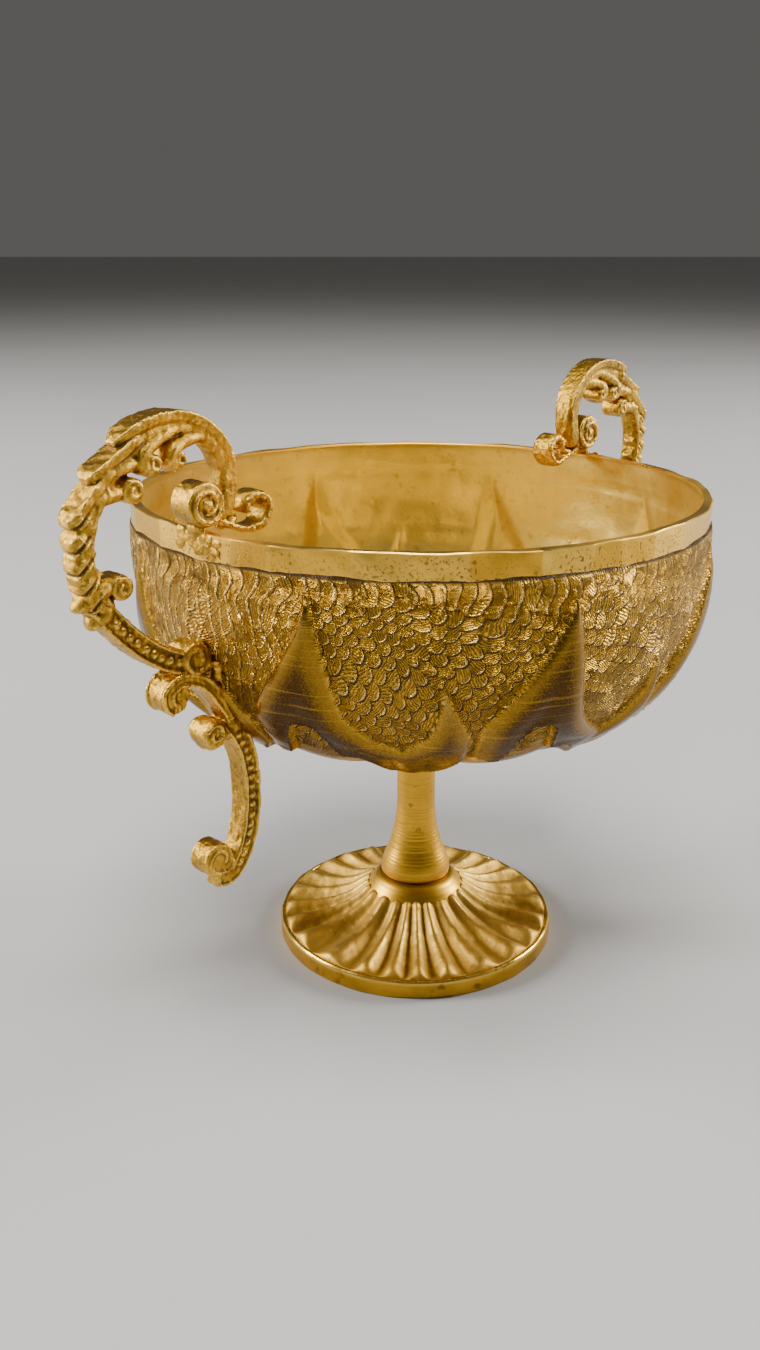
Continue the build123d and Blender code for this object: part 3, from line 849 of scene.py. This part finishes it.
def rim_curl_parts(settings):
    """Small leaf that rolls up over the inside of the lip."""
    line, way, run = smooth_path(RIM_CURL, 0.3)
    radii = np.interp(run, [0, run[-1] * 0.25, run[-1] * 0.5, run[-1]], [0.9, 0.75, 1.15, 1.0])
    parts = [bar(line, round_bar(0.95, 2.6, 0.6), radii)]
    parts.append(lump((57.4, 0, 114.9), (2.6, 1.9, 1.2), -20))
    return parts


def bracket_parts(settings):
    """Short scroll on the wall, rolled outward, with ribs on its roll."""
    line, way, run = smooth_path(BRACKET, 0.3)
    wide = settings.width / MM / 2
    parts = [bar(line, round_bar(1.35, wide + 0.1, 0.5), np.interp(run, [0, 8, run[-1]], [0.85, 1.0, 1.15]))]
    parts.append(roller(73.3, 83.3, 2.9, settings.width / MM + 0.2))
    for i in range(4):
        parts.append(lump((74.9 - i * 0.95, 0, 80.9 - i * 0.12), (0.55, wide + 0.35, 0.9), 10))
    parts += edge_cords(line, way, 1.0, wide, 0.45, 10, len(line))
    parts += edge_cords(line, way, -1.0, wide, 0.45, 10, len(line))
    return parts


def tail_parts(settings):
    """Long tail with a beaded channel, a ribbed curl at its top and a rolled, dimpled end."""
    line, way, run = smooth_path(TAIL, 0.35)
    wide = settings.width / MM / 2
    radii = np.interp(run, [0, 10, 30, run[-1]], [1.0, 1.0, 0.98, 0.85])
    parts = [bar(line, channel_bar(2.15, wide, sink=0.5), radii)]
    parts += beads(line, way, run, 5.0, run[-1] - 6, settings, shift=0.2)
    parts.append(roller(64.4, 72.6, 3.0, settings.width / MM + 0.1))
    parts += spiral(64.4, 72.6, 2.4, 0.7, 1.1, 20, wide, 0.5)
    for i in range(4):
        parts.append(lump((65.6 - i * 0.9, 0, 69.9 + i * 0.05), (0.5, wide + 0.2, 0.8), 0))
    parts.append(lump((60.6, 0, 71.8), (2.6, wide - 0.1, 1.9), 30))
    x, z = 65.2, 44.4
    parts.append(roller(x, z, 3.7, settings.width / MM + 0.2))
    parts += spiral(x, z, 3.1, 1.6, 0.9, 250, wide + 0.05, 0.5)
    parts.append(lump((61.4, 0, 41.6), (3.0, wide - 0.1, 2.4), -40))
    return parts


class OBJECT_OT_ciborium_handles(bpy.types.Operator):
    """Cast handles: bars, leaves, scales, curls and beads fused into castings, one set a side"""

    bl_idname = "object.ciborium_handles"
    bl_label = "Cast handles"

    def execute(self, context):
        settings = context.scene.ciborium_handle
        metal = cast_gilt(context.scene.ciborium_finish)
        kinds = (
            ("upper_arm", "upper_scroll", upper_arm_parts, 51, CREASES),
            ("rim_curl", "rim_leaf", rim_curl_parts, 61, ()),
            ("wall_bracket", "bracket_scroll", bracket_parts, 71, ()),
            ("hanging_tail", "tail_scroll", tail_parts, 81, ()),
        )
        for name, node, make_parts, seed, creases in kinds:
            casting = cast(make_parts(settings), name, settings, seed, creases)
            casting.data.materials.clear()
            casting.data.materials.append(metal)
            left = stamped(casting, Matrix.Rotation(math.pi, 4, "Z"))
            finished(casting, f"right_{name}", "cast_gilt", f"right_{node}")
            finished(left, f"left_{name}", "cast_gilt", f"left_{node}")
        return {"FINISHED"}


class OBJECT_OT_ciborium_brazes(bpy.types.Operator):
    """Rough brazing metal where the handles meet the rim and the wall"""

    bl_idname = "object.ciborium_brazes"
    bl_label = "Brazed joints"

    def execute(self, context):
        settings = context.scene.ciborium_handle
        metal = braze_metal(context.scene.ciborium_finish)
        rng = np.random.default_rng(5)
        rim_parts = [lump((64.4, 0, 114.9), (1.6, 2.6, 1.7))]
        for _ in range(26):
            across, down = rng.uniform(-5.4, 5.4), rng.uniform(109.4, 113.6)
            x = math.sqrt((RIM_RADIUS / MM - 0.15) ** 2 - across**2)
            rim_parts.append(lump((x, across, down), (0.36, rng.uniform(0.9, 1.9), rng.uniform(0.8, 1.5)), level=8))
        wall_parts = [lump((65.4, 0, 88.4), (1.9, 2.6, 3.2))]
        for _ in range(14):
            across, up = rng.uniform(-3.8, 3.8), rng.uniform(82.5, 92.0)
            wall_parts.append(lump((64.2 - (92 - up) * 0.11, across, up), (1.0, 1.3, 1.2), level=8))
        for name, node, parts in (("rim_solder", "rim_braze", rim_parts), ("wall_solder", "wall_braze", wall_parts)):
            joint = cast(parts, name, settings, 91)
            joint.data.materials.clear()
            joint.data.materials.append(metal)
            left = stamped(joint, Matrix.Rotation(math.pi, 4, "Z"))
            finished(joint, f"right_{name}", "braze", f"right_{node}")
            finished(left, f"left_{name}", "braze", f"left_{node}")
        return {"FINISHED"}


class OBJECT_OT_ciborium_fasteners(bpy.types.Operator):
    """Metal of the tie rod, washer, nut and boss, whose CAD shapes stay"""

    bl_idname = "object.ciborium_fasteners"
    bl_label = "Fasteners"

    def execute(self, context):
        finish = context.scene.ciborium_finish
        metal = bare_brass(finish)
        for node in ("tie_rod", "foot_washer", "foot_nut"):
            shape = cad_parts[node]
            shape.data.materials.clear()
            shape.data.materials.append(metal)
        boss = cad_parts["bowl_boss"]
        boss.data.materials.clear()
        boss.data.materials.append(turned_gilt(finish))
        return {"FINISHED"}


# ---------------------------------------------------------------- materials
class Recipe:
    """Builds a material's nodes: each call adds one node and returns its output."""

    def __init__(self, name):
        self.material = bpy.data.materials.new(name)
        self.material.use_nodes = True
        self.tree = self.material.node_tree
        self.shader = self.tree.nodes["Principled BSDF"]

    def node(self, kind, inputs=None, **settings):
        made = self.tree.nodes.new(kind)
        for key, value in settings.items():
            setattr(made, key, value)
        for key, value in (inputs or {}).items():
            self.feed(made.inputs[key], value)
        return made

    def feed(self, socket, value):
        if isinstance(value, bpy.types.NodeSocket):
            self.tree.links.new(value, socket)
        elif hasattr(value, "__len__") and len(value) == 3 and socket.type == "RGBA":
            socket.default_value = (*value, 1)
        else:
            socket.default_value = value

    def math(self, operation, first, second=0.0, third=0.0, clamp=False):
        inputs = {0: first, 1: second, 2: third}
        return self.node("ShaderNodeMath", inputs, operation=operation, use_clamp=clamp).outputs[0]

    def place(self, scale=(1, 1, 1)):
        where = self.node("ShaderNodeTexCoord").outputs["Object"]
        return self.node("ShaderNodeMapping", {"Vector": where, "Scale": scale}).outputs[0]

    def noise(self, scale, detail=3.0, stretch=(1, 1, 1), rough=0.55):
        inputs = {"Vector": self.place(stretch), "Scale": scale, "Detail": detail, "Roughness": rough}
        return self.node("ShaderNodeTexNoise", inputs).outputs["Fac"]

    def number(self, name):
        return self.node("ShaderNodeAttribute", attribute_name=name).outputs["Fac"]

    def span(self, value, low, high, to_low=0.0, to_high=1.0):
        inputs = {0: value, 1: low, 2: high, 3: to_low, 4: to_high}
        return self.node("ShaderNodeMapRange", inputs, interpolation_type="SMOOTHSTEP").outputs[0]

    def blend(self, share, first, second, kind="MIX"):
        mix = self.node("ShaderNodeMix", data_type="RGBA", blend_type=kind)
        self.feed(mix.inputs["Factor"], share)
        self.feed(mix.inputs[6], first)
        self.feed(mix.inputs[7], second)
        return mix.outputs[2]

    def edges(self, reach=0.08):
        """Share of a sharp outer edge, and share of a recess, from the shape itself."""
        point = self.node("ShaderNodeNewGeometry").outputs["Pointiness"]
        return self.span(point, 0.5 + reach * 0.05, 0.5 + reach), self.span(point, 0.5 - reach * 0.05, 0.5 - reach * 0.9)

    def bump(self, height, distance, strength=1.0, under=None):
        inputs = {"Height": height, "Distance": distance, "Strength": strength}
        if under is not None:
            inputs["Normal"] = under
        return self.node("ShaderNodeBump", inputs).outputs[0]

    def finish(self, colour, roughness, normal=None, metallic=1.0):
        self.feed(self.shader.inputs["Base Color"], colour)
        self.feed(self.shader.inputs["Roughness"], roughness)
        self.feed(self.shader.inputs["Metallic"], metallic)
        if normal is not None:
            self.feed(self.shader.inputs["Normal"], normal)
        return self.material


def darkened_metallic(r, darkening):
    """Metallic share, lower where the colour is darkened, which in the chased ground includes its painted shadow."""
    return r.span(darkening, 0.3, 1.0, 1.0, 0.45)


def scale_nodes(r):
    """The punched scales, as in scales(): rise, distance to the lip, and a random number for each scale."""
    uv = r.node("ShaderNodeSeparateXYZ", {0: r.node("ShaderNodeUVMap", uv_map="chase").outputs[0]})
    along, across = uv.outputs[0], uv.outputs[1]
    row = r.math("FLOOR", along)
    part = r.math("SUBTRACT", along, row)
    odd = r.math("FLOORED_MODULO", row, 2)
    shifted = r.math("MULTIPLY_ADD", odd, 0.5, across)
    column = r.math("FLOOR", shifted)
    offset = r.math("SUBTRACT", r.math("SUBTRACT", shifted, column), 0.5)
    side = r.math("ABSOLUTE", offset)

    def lip_at(distance):
        double = r.math("MULTIPLY", distance, 2)
        inside = r.math("MAXIMUM", r.math("SUBTRACT", 1, r.math("MULTIPLY", double, double)), 0)
        return r.math("MULTIPLY_ADD", r.math("SQRT", inside), 0.65, 0.35)

    lip = lip_at(side)
    next_lip = lip_at(r.math("SUBTRACT", 0.5, side))
    own = r.math("LESS_THAN", part, lip)
    own_gap = r.math("SUBTRACT", lip, part)
    next_gap = r.math("SUBTRACT", r.math("ADD", next_lip, 1), part)
    side = r.math("ADD", r.math("MULTIPLY", own, side),
                  r.math("MULTIPLY", r.math("SUBTRACT", 1, own), r.math("SUBTRACT", 0.5, side)))
    gap = r.math("ADD", r.math("MULTIPLY", own, own_gap),
                 r.math("MULTIPLY", r.math("SUBTRACT", 1, own), next_gap))
    rise = r.math("SUBTRACT", 1, r.math("DIVIDE", gap, 1.65))
    past_own = r.math("SUBTRACT", part, lip)
    past_last = r.math("SUBTRACT", r.math("ADD", part, 1), next_lip)
    past = r.math("ADD", r.math("MULTIPLY", own, past_last), r.math("MULTIPLY", r.math("SUBTRACT", 1, own), past_own))
    next_row = r.math("ADD", row, r.math("SUBTRACT", 1, own))
    step = r.math("MULTIPLY", r.math("SIGN", offset), r.math("SUBTRACT", 1, own))
    number = r.math("ADD", r.math("MULTIPLY", next_row, 7.31), r.math("ADD", column, r.math("MULTIPLY", step, 0.5)))
    chance = r.node("ShaderNodeTexWhiteNoise", {"W": number}, noise_dimensions="1D").outputs["Value"]
    return along, across, rise, gap, past, side, chance


def chased_gilt(finish):
    """Outside of the bowl: brown in the punched ground, with painted highlights on the scale lips and painted shadow in
    the creases past them; satin on the petals, whose middles carry a painted dark reflection; orange underneath,
    darkened towards the bottom with the same painted dark reflection.
    """
    r = Recipe("chased_gilt")
    ground, strokes, joint, low = (r.number(name) for name in ("ground", "strokes", "joint", "low"))
    along, across, rise, gap, past, side, chance = scale_nodes(r)
    stroke_uv = r.node("ShaderNodeSeparateXYZ", {0: r.node("ShaderNodeUVMap", uv_map="stroke").outputs[0]})
    stroke = r.math("FRACT", stroke_uv.outputs[0])
    lean = r.math("MULTIPLY_ADD", chance, 1.1, -0.75)
    crosswise = r.math("MULTIPLY", r.math("GREATER_THAN", r.math("FRACT", r.math("MULTIPLY", chance, 7)), 0.72), 1.5)
    tilt = r.math("ADD", lean, r.math("MAXIMUM", crosswise, r.math("MULTIPLY", strokes, 0.5)))
    hatch_at = r.math("ADD", r.math("MULTIPLY", r.math("COSINE", tilt), r.math("MULTIPLY", along, ROW_MM)),
                      r.math("MULTIPLY", r.math("SINE", tilt), r.math("MULTIPLY", across, COLUMN_MM)))
    wobble = r.math("MULTIPLY", r.noise(700, 2), 0.9)
    hatch = r.math("SINE", r.math("MULTIPLY", r.math("ADD", hatch_at, wobble), 2 * math.pi / 0.50))
    patch = r.noise(260, 3)
    # lip: thin crescents along the scales' lips and the strokes' edges, painted pale below as a painted highlight.
    lip = r.math("MULTIPLY", r.span(gap, 0.17, 0.06), r.span(side, 0.46, 0.30))
    lip = r.math("MULTIPLY", lip, r.span(r.math("FRACT", r.math("MULTIPLY", chance, 3)), 0.0, 0.5, 0.5, 1.0))
    flat = r.math("SUBTRACT", 1, strokes)
    stroke_lip = r.math("MULTIPLY", r.span(r.math("ABSOLUTE", r.math("SUBTRACT", stroke, 0.82)), 0.12, 0.02), r.span(patch, 0.35, 0.6, 0.2, 0.9))
    lip = r.math("ADD", r.math("MULTIPLY", lip, flat), r.math("MULTIPLY", stroke_lip, strokes))
    up = r.math("ADD", r.math("MULTIPLY", rise, r.math("MULTIPLY_ADD", strokes, -0.75, 1)),
                r.math("MULTIPLY", stroke, r.math("MULTIPLY", strokes, 0.75)))
    # crease: the dip past each scale's lip and between the strokes, painted dark below as a painted shadow.
    crease = r.math("MULTIPLY", r.span(past, 0.24, 0.06), flat)
    crease = r.math("MULTIPLY_ADD", r.span(r.math("ABSOLUTE", r.math("SUBTRACT", stroke, 0.5)), 0.43, 0.48), strokes, crease)
    fine = r.noise(2600, 2)
    grain = r.noise(900, 4)
    height = r.math("MULTIPLY_ADD", up, 0.55, r.math("MULTIPLY", hatch, 0.22))
    height = r.math("MULTIPLY_ADD", lip, 0.60, height)
    height = r.math("MULTIPLY_ADD", crease, -0.35, height)
    height = r.math("MULTIPLY_ADD", grain, 0.35, height)
    height = r.math("MULTIPLY", height, ground)
    brushed = r.noise(1.0, 2, stretch=(45, 45, 2400))
    smooth = r.math("MULTIPLY", brushed, r.math("SUBTRACT", 1, ground))
    normal = r.bump(height, 0.00060, 1.0)
    normal = r.bump(smooth, 0.00010, 0.35, normal)
    normal = r.bump(fine, 0.00004, 0.45, normal)

    edge, recess = r.edges()
    cloud = r.noise(60, 5)
    # Painted shadow in the creases, painted highlight and shade on the hatch lines and a lighter lip, with uneven tone
    # from grain and patch.
    shade = r.math("MULTIPLY_ADD", crease, 0.85, 0.36)
    shade = r.math("MULTIPLY_ADD", hatch, -0.32, shade)
    shade = r.math("MULTIPLY_ADD", r.math("SUBTRACT", grain, 0.5), -1.0, shade)
    shade = r.math("MULTIPLY_ADD", r.math("SUBTRACT", patch, 0.5), -0.7, shade)
    shade = r.math("MULTIPLY_ADD", lip, -1.9, shade, clamp=True)
    # darkening: the ground's painted shadow and uneven tone, darker recesses, and the joint under the band.
    darkening = r.math("MULTIPLY", shade, ground)
    darkening = r.math("MAXIMUM", darkening, r.math("MULTIPLY", recess, r.span(cloud, 0.3, 0.7, 0.35, 0.9)))
    # Painted dark reflection: petal middles, and the underside towards the bottom, are painted near black as if they
    # mirrored a dark surrounding.
    painted_dark_reflection = r.math("MULTIPLY", r.number("middle"), r.span(r.noise(3000, 2), 0.42, 0.62, 1.12, 0.94))
    painted_dark_reflection = r.math("MULTIPLY", painted_dark_reflection, r.span(brushed, 0.56, 0.70, 1.0, 0.72))
    painted_dark_reflection = r.math("MAXIMUM", painted_dark_reflection, r.math("MULTIPLY", low, r.span(cloud, 0.3, 0.7, 0.6, 0.95)))
    darkening = r.math("MAXIMUM", darkening, joint)
    colour = r.blend(r.span(cloud, 0.3, 0.7), finish.gold, tuple(0.86 * c for c in finish.gold))
    # Painted highlight: the scale lips are painted pale; sharp edges are paler as wear.
    pale_share = r.math("MULTIPLY", lip, ground)
    colour = r.blend(r.math("MAXIMUM", r.math("MULTIPLY", edge, 0.5), pale_share), colour, (1.0, 0.72, 0.22))
    # The near-black colour of the painted dark reflection.
    colour = r.blend(painted_dark_reflection, colour, (0.060, 0.029, 0.008))
    colour = r.blend(r.math("MULTIPLY", darkening, 0.94), colour, finish.brown)
    roughness = r.span(darkening, 0, 1, 0.25, 0.55)
    roughness = r.math("ADD", roughness, r.math("MULTIPLY", r.math("SUBTRACT", fine, 0.5), 0.25))
    return r.finish(colour, roughness, normal, darkened_metallic(r, darkening))


def smooth_gilt(finish):
    """Inside of the bowl: smooth orange gold, a little clouded."""
    r = Recipe("smooth_gilt")
    cloud, spots, joint = r.noise(70, 4), r.noise(420, 5), r.number("joint")
    colour = r.blend(r.span(cloud, 0.3, 0.75), finish.orange, tuple(0.88 * c for c in finish.orange))
    colour = r.blend(r.span(spots, 0.55, 0.75, 0, 0.3), colour, finish.brown)
    colour = r.blend(r.math("MULTIPLY", joint, 0.9), colour, finish.brown)
    normal = r.bump(r.noise(260, 4), 0.00020, 0.8)
    normal = r.bump(r.noise(1500, 3), 0.00006, 0.6, normal)
    roughness = r.span(cloud, 0.3, 0.7, 0.34, 0.46)
    return r.finish(colour, roughness, normal, darkened_metallic(r, joint))


def hammered_gilt(finish):
    """Rim band: burnished facets of slightly different tone, pitted with fine dark specks."""
    r = Recipe("hammered_gilt")
    facet = r.number("facet")
    cloud, pits = r.noise(55, 4), r.noise(1500, 3, rough=0.6)
    crowd = r.span(cloud, 0.35, 0.6)
    specks = r.math("MULTIPLY", r.span(pits, 0.54, 0.64), r.span(crowd, 0, 1, 0.2, 0.95))
    side = r.math("SUBTRACT", 1, r.number("top"))
    specks = r.math("MULTIPLY", specks, side)
    edge, recess = r.edges()
    colour = r.blend(r.span(facet, 0.3, 1.0, 0.0, 0.5), finish.gold, finish.pale)
    colour = r.blend(r.math("MULTIPLY", edge, 0.5), colour, finish.pale)
    darkening = r.math("MAXIMUM", specks, r.math("MULTIPLY", recess, r.math("MULTIPLY", side, 0.7)))
    colour = r.blend(r.math("MULTIPLY", darkening, 0.8), colour, finish.brown)
    waves = r.math("MULTIPLY", r.math("SUBTRACT", r.noise(300, 3), r.math("MULTIPLY", specks, 0.6)), side)
    normal = r.bump(waves, 0.00009, 0.7)
    normal = r.bump(r.noise(2600, 2), 0.00003, 0.4, normal)
    roughness = r.math("ADD", r.span(facet, 0, 1, 0.36, 0.25), r.math("MULTIPLY", crowd, 0.12))
    return r.finish(colour, roughness, normal, darkened_metallic(r, darkening))


def turned_gilt(finish):
    """Stem and collar: satin gold with fine rings from the lathe and a few dark spots."""
    r = Recipe("turned_gilt")
    rings = r.noise(1.0, 3, stretch=(25, 25, 2600))
    cloud, spots = r.noise(90, 4), r.noise(330, 3)
    edge, recess = r.edges()
    colour = r.blend(r.span(cloud, 0.3, 0.7), finish.gold, tuple(0.82 * c for c in finish.gold))
    colour = r.blend(r.span(rings, 0.52, 0.66, 0.0, 0.45), colour, tuple(0.35 * c for c in finish.gold))
    darkening = r.math("MAXIMUM", r.span(spots, 0.66, 0.74, 0, 0.6), r.math("MULTIPLY", recess, 0.85))
    darkening = r.math("MAXIMUM", darkening, r.math("MULTIPLY", r.number("groove"), 1.25))
    colour = r.blend(r.math("MULTIPLY", edge, 0.5), colour, finish.pale)
    colour = r.blend(r.math("MULTIPLY", darkening, 0.75), colour, finish.brown)
    normal = r.bump(rings, 0.00005, 0.8)
    normal = r.bump(r.noise(2200, 2), 0.00002, 0.35, normal)
    roughness = r.span(rings, 0.3, 0.7, 0.34, 0.46)
    return r.finish(colour, roughness, normal, darkened_metallic(r, darkening))


def fluted_gilt(finish):
    """Foot: flutes painted pale along their ridges as a painted highlight and darkened in the grooves as painted shade,
    grey-brown stains in the grooves and near the collar.
    """
    r = Recipe("fluted_gilt")
    ridge, outward = r.number("ridge"), r.number("outward")
    cloud, grain = r.noise(95, 5, rough=0.65), r.noise(1300, 3)
    edge, recess = r.edges()
    colour = r.blend(r.span(cloud, 0.3, 0.7), finish.gold, tuple(0.88 * c for c in finish.gold))
    # Painted shade: the grooves between the flutes are darkened to 0.46 of the gold.
    groove = r.math("SUBTRACT", 1, r.span(ridge, 0.0, 0.6))
    colour = r.blend(r.math("MULTIPLY", groove, 0.45), colour, tuple(0.46 * c for c in finish.gold))
    # Painted highlight: the flutes' ridges are painted pale, in patches.
    painted_ridge_highlight = r.math("MULTIPLY", ridge, r.span(r.noise(220, 4), 0.38, 0.62, 0.15, 0.9))
    colour = r.blend(painted_ridge_highlight, colour, finish.pale)
    film = r.math("MULTIPLY", r.span(cloud, 0.35, 0.62, 0.45, 1.0), r.span(outward, 0.0, 0.8, 1.0, 0.75))
    film = r.math("MULTIPLY", film, r.span(painted_ridge_highlight, 0.2, 0.9, 1.0, 0.35))
    darkening = r.math("MAXIMUM", r.math("MULTIPLY", recess, 0.6), r.span(r.noise(600, 4), 0.58, 0.72, 0, 0.5))
    colour = r.blend(r.math("MULTIPLY", film, 0.5), colour, (0.68, 0.46, 0.12))
    colour = r.blend(r.math("MULTIPLY", darkening, 0.6), colour, finish.brown)
    normal = r.bump(r.noise(420, 4), 0.00024, 0.8)
    normal = r.bump(grain, 0.00008, 0.6, normal)
    roughness = r.math("ADD", r.span(painted_ridge_highlight, 0, 1, 0.58, 0.42), r.math("MULTIPLY", darkening, 0.15))
    return r.finish(colour, roughness, normal, darkened_metallic(r, darkening))


def hoop_gilt(finish):
    """Edge hoop: dull side, paler top edge."""
    r = Recipe("hoop_gilt")
    edge_line = r.number("edge")
    cloud = r.noise(110, 4)
    pale_share = r.math("MULTIPLY", edge_line, r.span(cloud, 0.3, 0.6, 0.6, 1.0))
    colour = r.blend(r.span(cloud, 0.35, 0.7), tuple(0.88 * c for c in finish.gold), tuple(0.60 * c for c in finish.gold))
    colour = r.blend(pale_share, colour, finish.pale)
    darkening = r.span(r.noise(260, 4), 0.58, 0.72, 0, 0.6)
    colour = r.blend(darkening, colour, finish.brown)
    normal = r.bump(r.noise(500, 4), 0.0001, 0.6)
    return r.finish(colour, r.span(pale_share, 0, 1, 0.42, 0.26), normal)


def cast_gilt(finish):
    """Handles: brownish rough gold, paler on every high place, partly as wear and partly as a painted highlight."""
    r = Recipe("cast_gilt")
    cloud, grain, pits = r.noise(150, 5), r.noise(1500, 5, rough=0.65), r.noise(3200, 3)
    edge, recess = r.edges(0.035)
    colour = r.blend(r.span(cloud, 0.3, 0.7), tuple(0.90 * c for c in finish.gold), tuple(0.52 * c for c in finish.gold))
    # Wear with a painted highlight: sharp high edges are painted pale.
    pale_share = r.math("MULTIPLY", edge, r.span(grain, 0.3, 0.6, 0.3, 0.85))
    colour = r.blend(pale_share, colour, finish.pale)
    darkening = r.math("MULTIPLY", recess, r.span(cloud, 0.25, 0.7, 0.65, 1.0))
    darkening = r.math("MAXIMUM", darkening, r.math("MULTIPLY", r.span(grain, 0.50, 0.64, 0, 0.8), r.span(cloud, 0.35, 0.6, 0.25, 0.9)))
    colour = r.blend(r.math("MULTIPLY", darkening, 0.88), colour, finish.brown)
    normal = r.bump(grain, 0.00022, 0.9)
    normal = r.bump(pits, 0.00008, 0.6, normal)
    roughness = r.math("ADD", r.span(pale_share, 0, 1, 0.30, 0.22), r.math("MULTIPLY", darkening, 0.2))
    return r.finish(colour, roughness, normal, darkened_metallic(r, darkening))


def braze_metal(finish):
    """Brazing metal: rough, blotched, browner than the gilding."""
    r = Recipe("braze_metal")
    cloud, grain = r.noise(300, 5), r.noise(1400, 4)
    edge, recess = r.edges()
    colour = r.blend(r.span(cloud, 0.35, 0.65), tuple(0.85 * c for c in finish.gold), tuple(0.45 * c for c in finish.gold))
    colour = r.blend(edge, colour, finish.pale)
    darkening = r.math("MAXIMUM", r.math("MULTIPLY", recess, 0.9), r.span(grain, 0.55, 0.7, 0, 0.7))
    colour = r.blend(darkening, colour, finish.brown)
    normal = r.bump(grain, 0.0003, 0.9)
    return r.finish(colour, 0.42, normal, darkened_metallic(r, darkening))


def bare_brass(finish):
    """Fasteners under the foot: dull brass with turning marks."""
    r = Recipe("bare_brass")
    cloud, marks = r.noise(300, 4), r.noise(1.0, 3, stretch=(40, 40, 3000))
    colour = r.blend(r.span(cloud, 0.3, 0.7), finish.brass, tuple(0.7 * c for c in finish.brass))
    return r.finish(colour, r.span(cloud, 0.3, 0.7, 0.35, 0.5), r.bump(marks, 0.00005, 0.6))


def table_paint():
    """Pale plain floor with a very faint tooth."""
    r = Recipe("pale_floor")
    colour = r.blend(r.span(r.noise(3, 2), 0.3, 0.7), (0.50, 0.49, 0.475), (0.52, 0.51, 0.495))
    return r.finish(colour, 0.75, metallic=0.0)


# ---------------------------------------------------------------- stage
def softbox(name, place, aim, size, power, colour=(1, 1, 1)):
    """Large soft light that faces a point; place and aim in metres."""
    bpy.ops.object.light_add(type="AREA", location=place)
    lamp = bpy.context.object
    lamp.name = name
    lamp.data.shape = "RECTANGLE"
    lamp.data.size, lamp.data.size_y = size
    lamp.data.energy = power
    lamp.data.color = colour
    lamp.rotation_mode = "QUATERNION"
    lamp.rotation_quaternion = (Vector(aim) - Vector(place)).to_track_quat("-Z", "Y")


class OBJECT_OT_ciborium_stage(bpy.types.Operator):
    """Pale floor, soft lights and the camera"""

    bl_idname = "object.ciborium_stage"
    bl_label = "Stage"

    def execute(self, context):
        nothing_selected()
        bpy.ops.mesh.primitive_plane_add(size=60.0, location=(0, 0, 0))
        floor = context.object
        floor.name = "floor"
        floor.data.materials.append(table_paint())

        world = bpy.data.worlds.new("studio")
        context.scene.world = world
        world.use_nodes = True
        world.node_tree.nodes["Background"].inputs["Color"].default_value = (0.66, 0.64, 0.61, 1)
        world.node_tree.nodes["Background"].inputs["Strength"].default_value = 0.16

        middle = (0, 0, 0.08)
        ahead, right = Vector((0.7314, 0.6820, 0)), Vector((0.6820, -0.7314, 0))
        softbox("window_left", -right * 1.6 + ahead * 0.1 + Vector((0, 0, 0.75)), middle, (0.5, 1.0), 42.0)
        softbox("window_right", right * 1.6 + ahead * 0.5 + Vector((0, 0, 0.7)), middle, (0.45, 1.0), 36.0)
        softbox("ceiling", -ahead * 0.3 + Vector((0, 0, 2.0)), middle, (0.9, 0.9), 40.0, (1.0, 0.97, 0.92))

        lens = bpy.data.cameras.new("camera")
        lens.lens, lens.sensor_width = 32.0, 36.0
        lens.clip_start, lens.clip_end = 0.01, 20.0
        camera = bpy.data.objects.new("camera", lens)
        context.scene.collection.objects.link(camera)
        camera.location = (-0.2056, -0.1794, 0.1654)
        down = math.radians(19.66)
        view = Vector((ahead.x * math.cos(down), ahead.y * math.cos(down), -math.sin(down)))
        camera.rotation_mode = "QUATERNION"
        camera.rotation_quaternion = view.to_track_quat("-Z", "Y")
        context.scene.camera = camera
        return {"FINISHED"}


# ---------------------------------------------------------------- panel and registration
class VIEW3D_PT_ciborium(bpy.types.Panel):
    """Sizes, colours and pieces of the ciborium"""

    bl_label = "Ciborium"
    bl_idname = "VIEW3D_PT_ciborium"
    bl_space_type = "VIEW_3D"
    bl_region_type = "UI"
    bl_category = "Ciborium"

    def draw(self, context):
        layout = self.layout
        for name, group in SETTINGS.items():
            box = layout.box()
            box.label(text=name.replace("ciborium_", "").capitalize())
            for key in group.__annotations__:
                box.prop(getattr(context.scene, name), key)
        for operator in OPERATORS:
            layout.operator(operator.bl_idname)


SETTINGS = {
    "ciborium_bowl": CiboriumBowlSettings,
    "ciborium_band": CiboriumBandSettings,
    "ciborium_foot": CiboriumFootSettings,
    "ciborium_handle": CiboriumHandleSettings,
    "ciborium_finish": CiboriumFinishSettings,
}
OPERATORS = (
    OBJECT_OT_ciborium_stage,
    OBJECT_OT_ciborium_bowl,
    OBJECT_OT_ciborium_band,
    OBJECT_OT_ciborium_stem,
    OBJECT_OT_ciborium_foot,
    OBJECT_OT_ciborium_handles,
    OBJECT_OT_ciborium_brazes,
    OBJECT_OT_ciborium_fasteners,
)


def register():
    """Adds the settings, operators and panel to Blender."""
    for name, group in SETTINGS.items():
        bpy.utils.register_class(group)
        setattr(bpy.types.Scene, name, PointerProperty(type=group))
    for operator in (*OPERATORS, VIEW3D_PT_ciborium):
        bpy.utils.register_class(operator)


def unregister():
    """Takes the settings, operators and panel out again."""
    for operator in reversed((*OPERATORS, VIEW3D_PT_ciborium)):
        bpy.utils.unregister_class(operator)
    for name, group in SETTINGS.items():
        delattr(bpy.types.Scene, name)
        bpy.utils.unregister_class(group)


def main():
    """Builds every piece."""
    register()
    for operator in OPERATORS:
        family, name = operator.bl_idname.split(".")
        getattr(getattr(bpy.ops, family), name)()


if __name__ == "__main__":
    main()
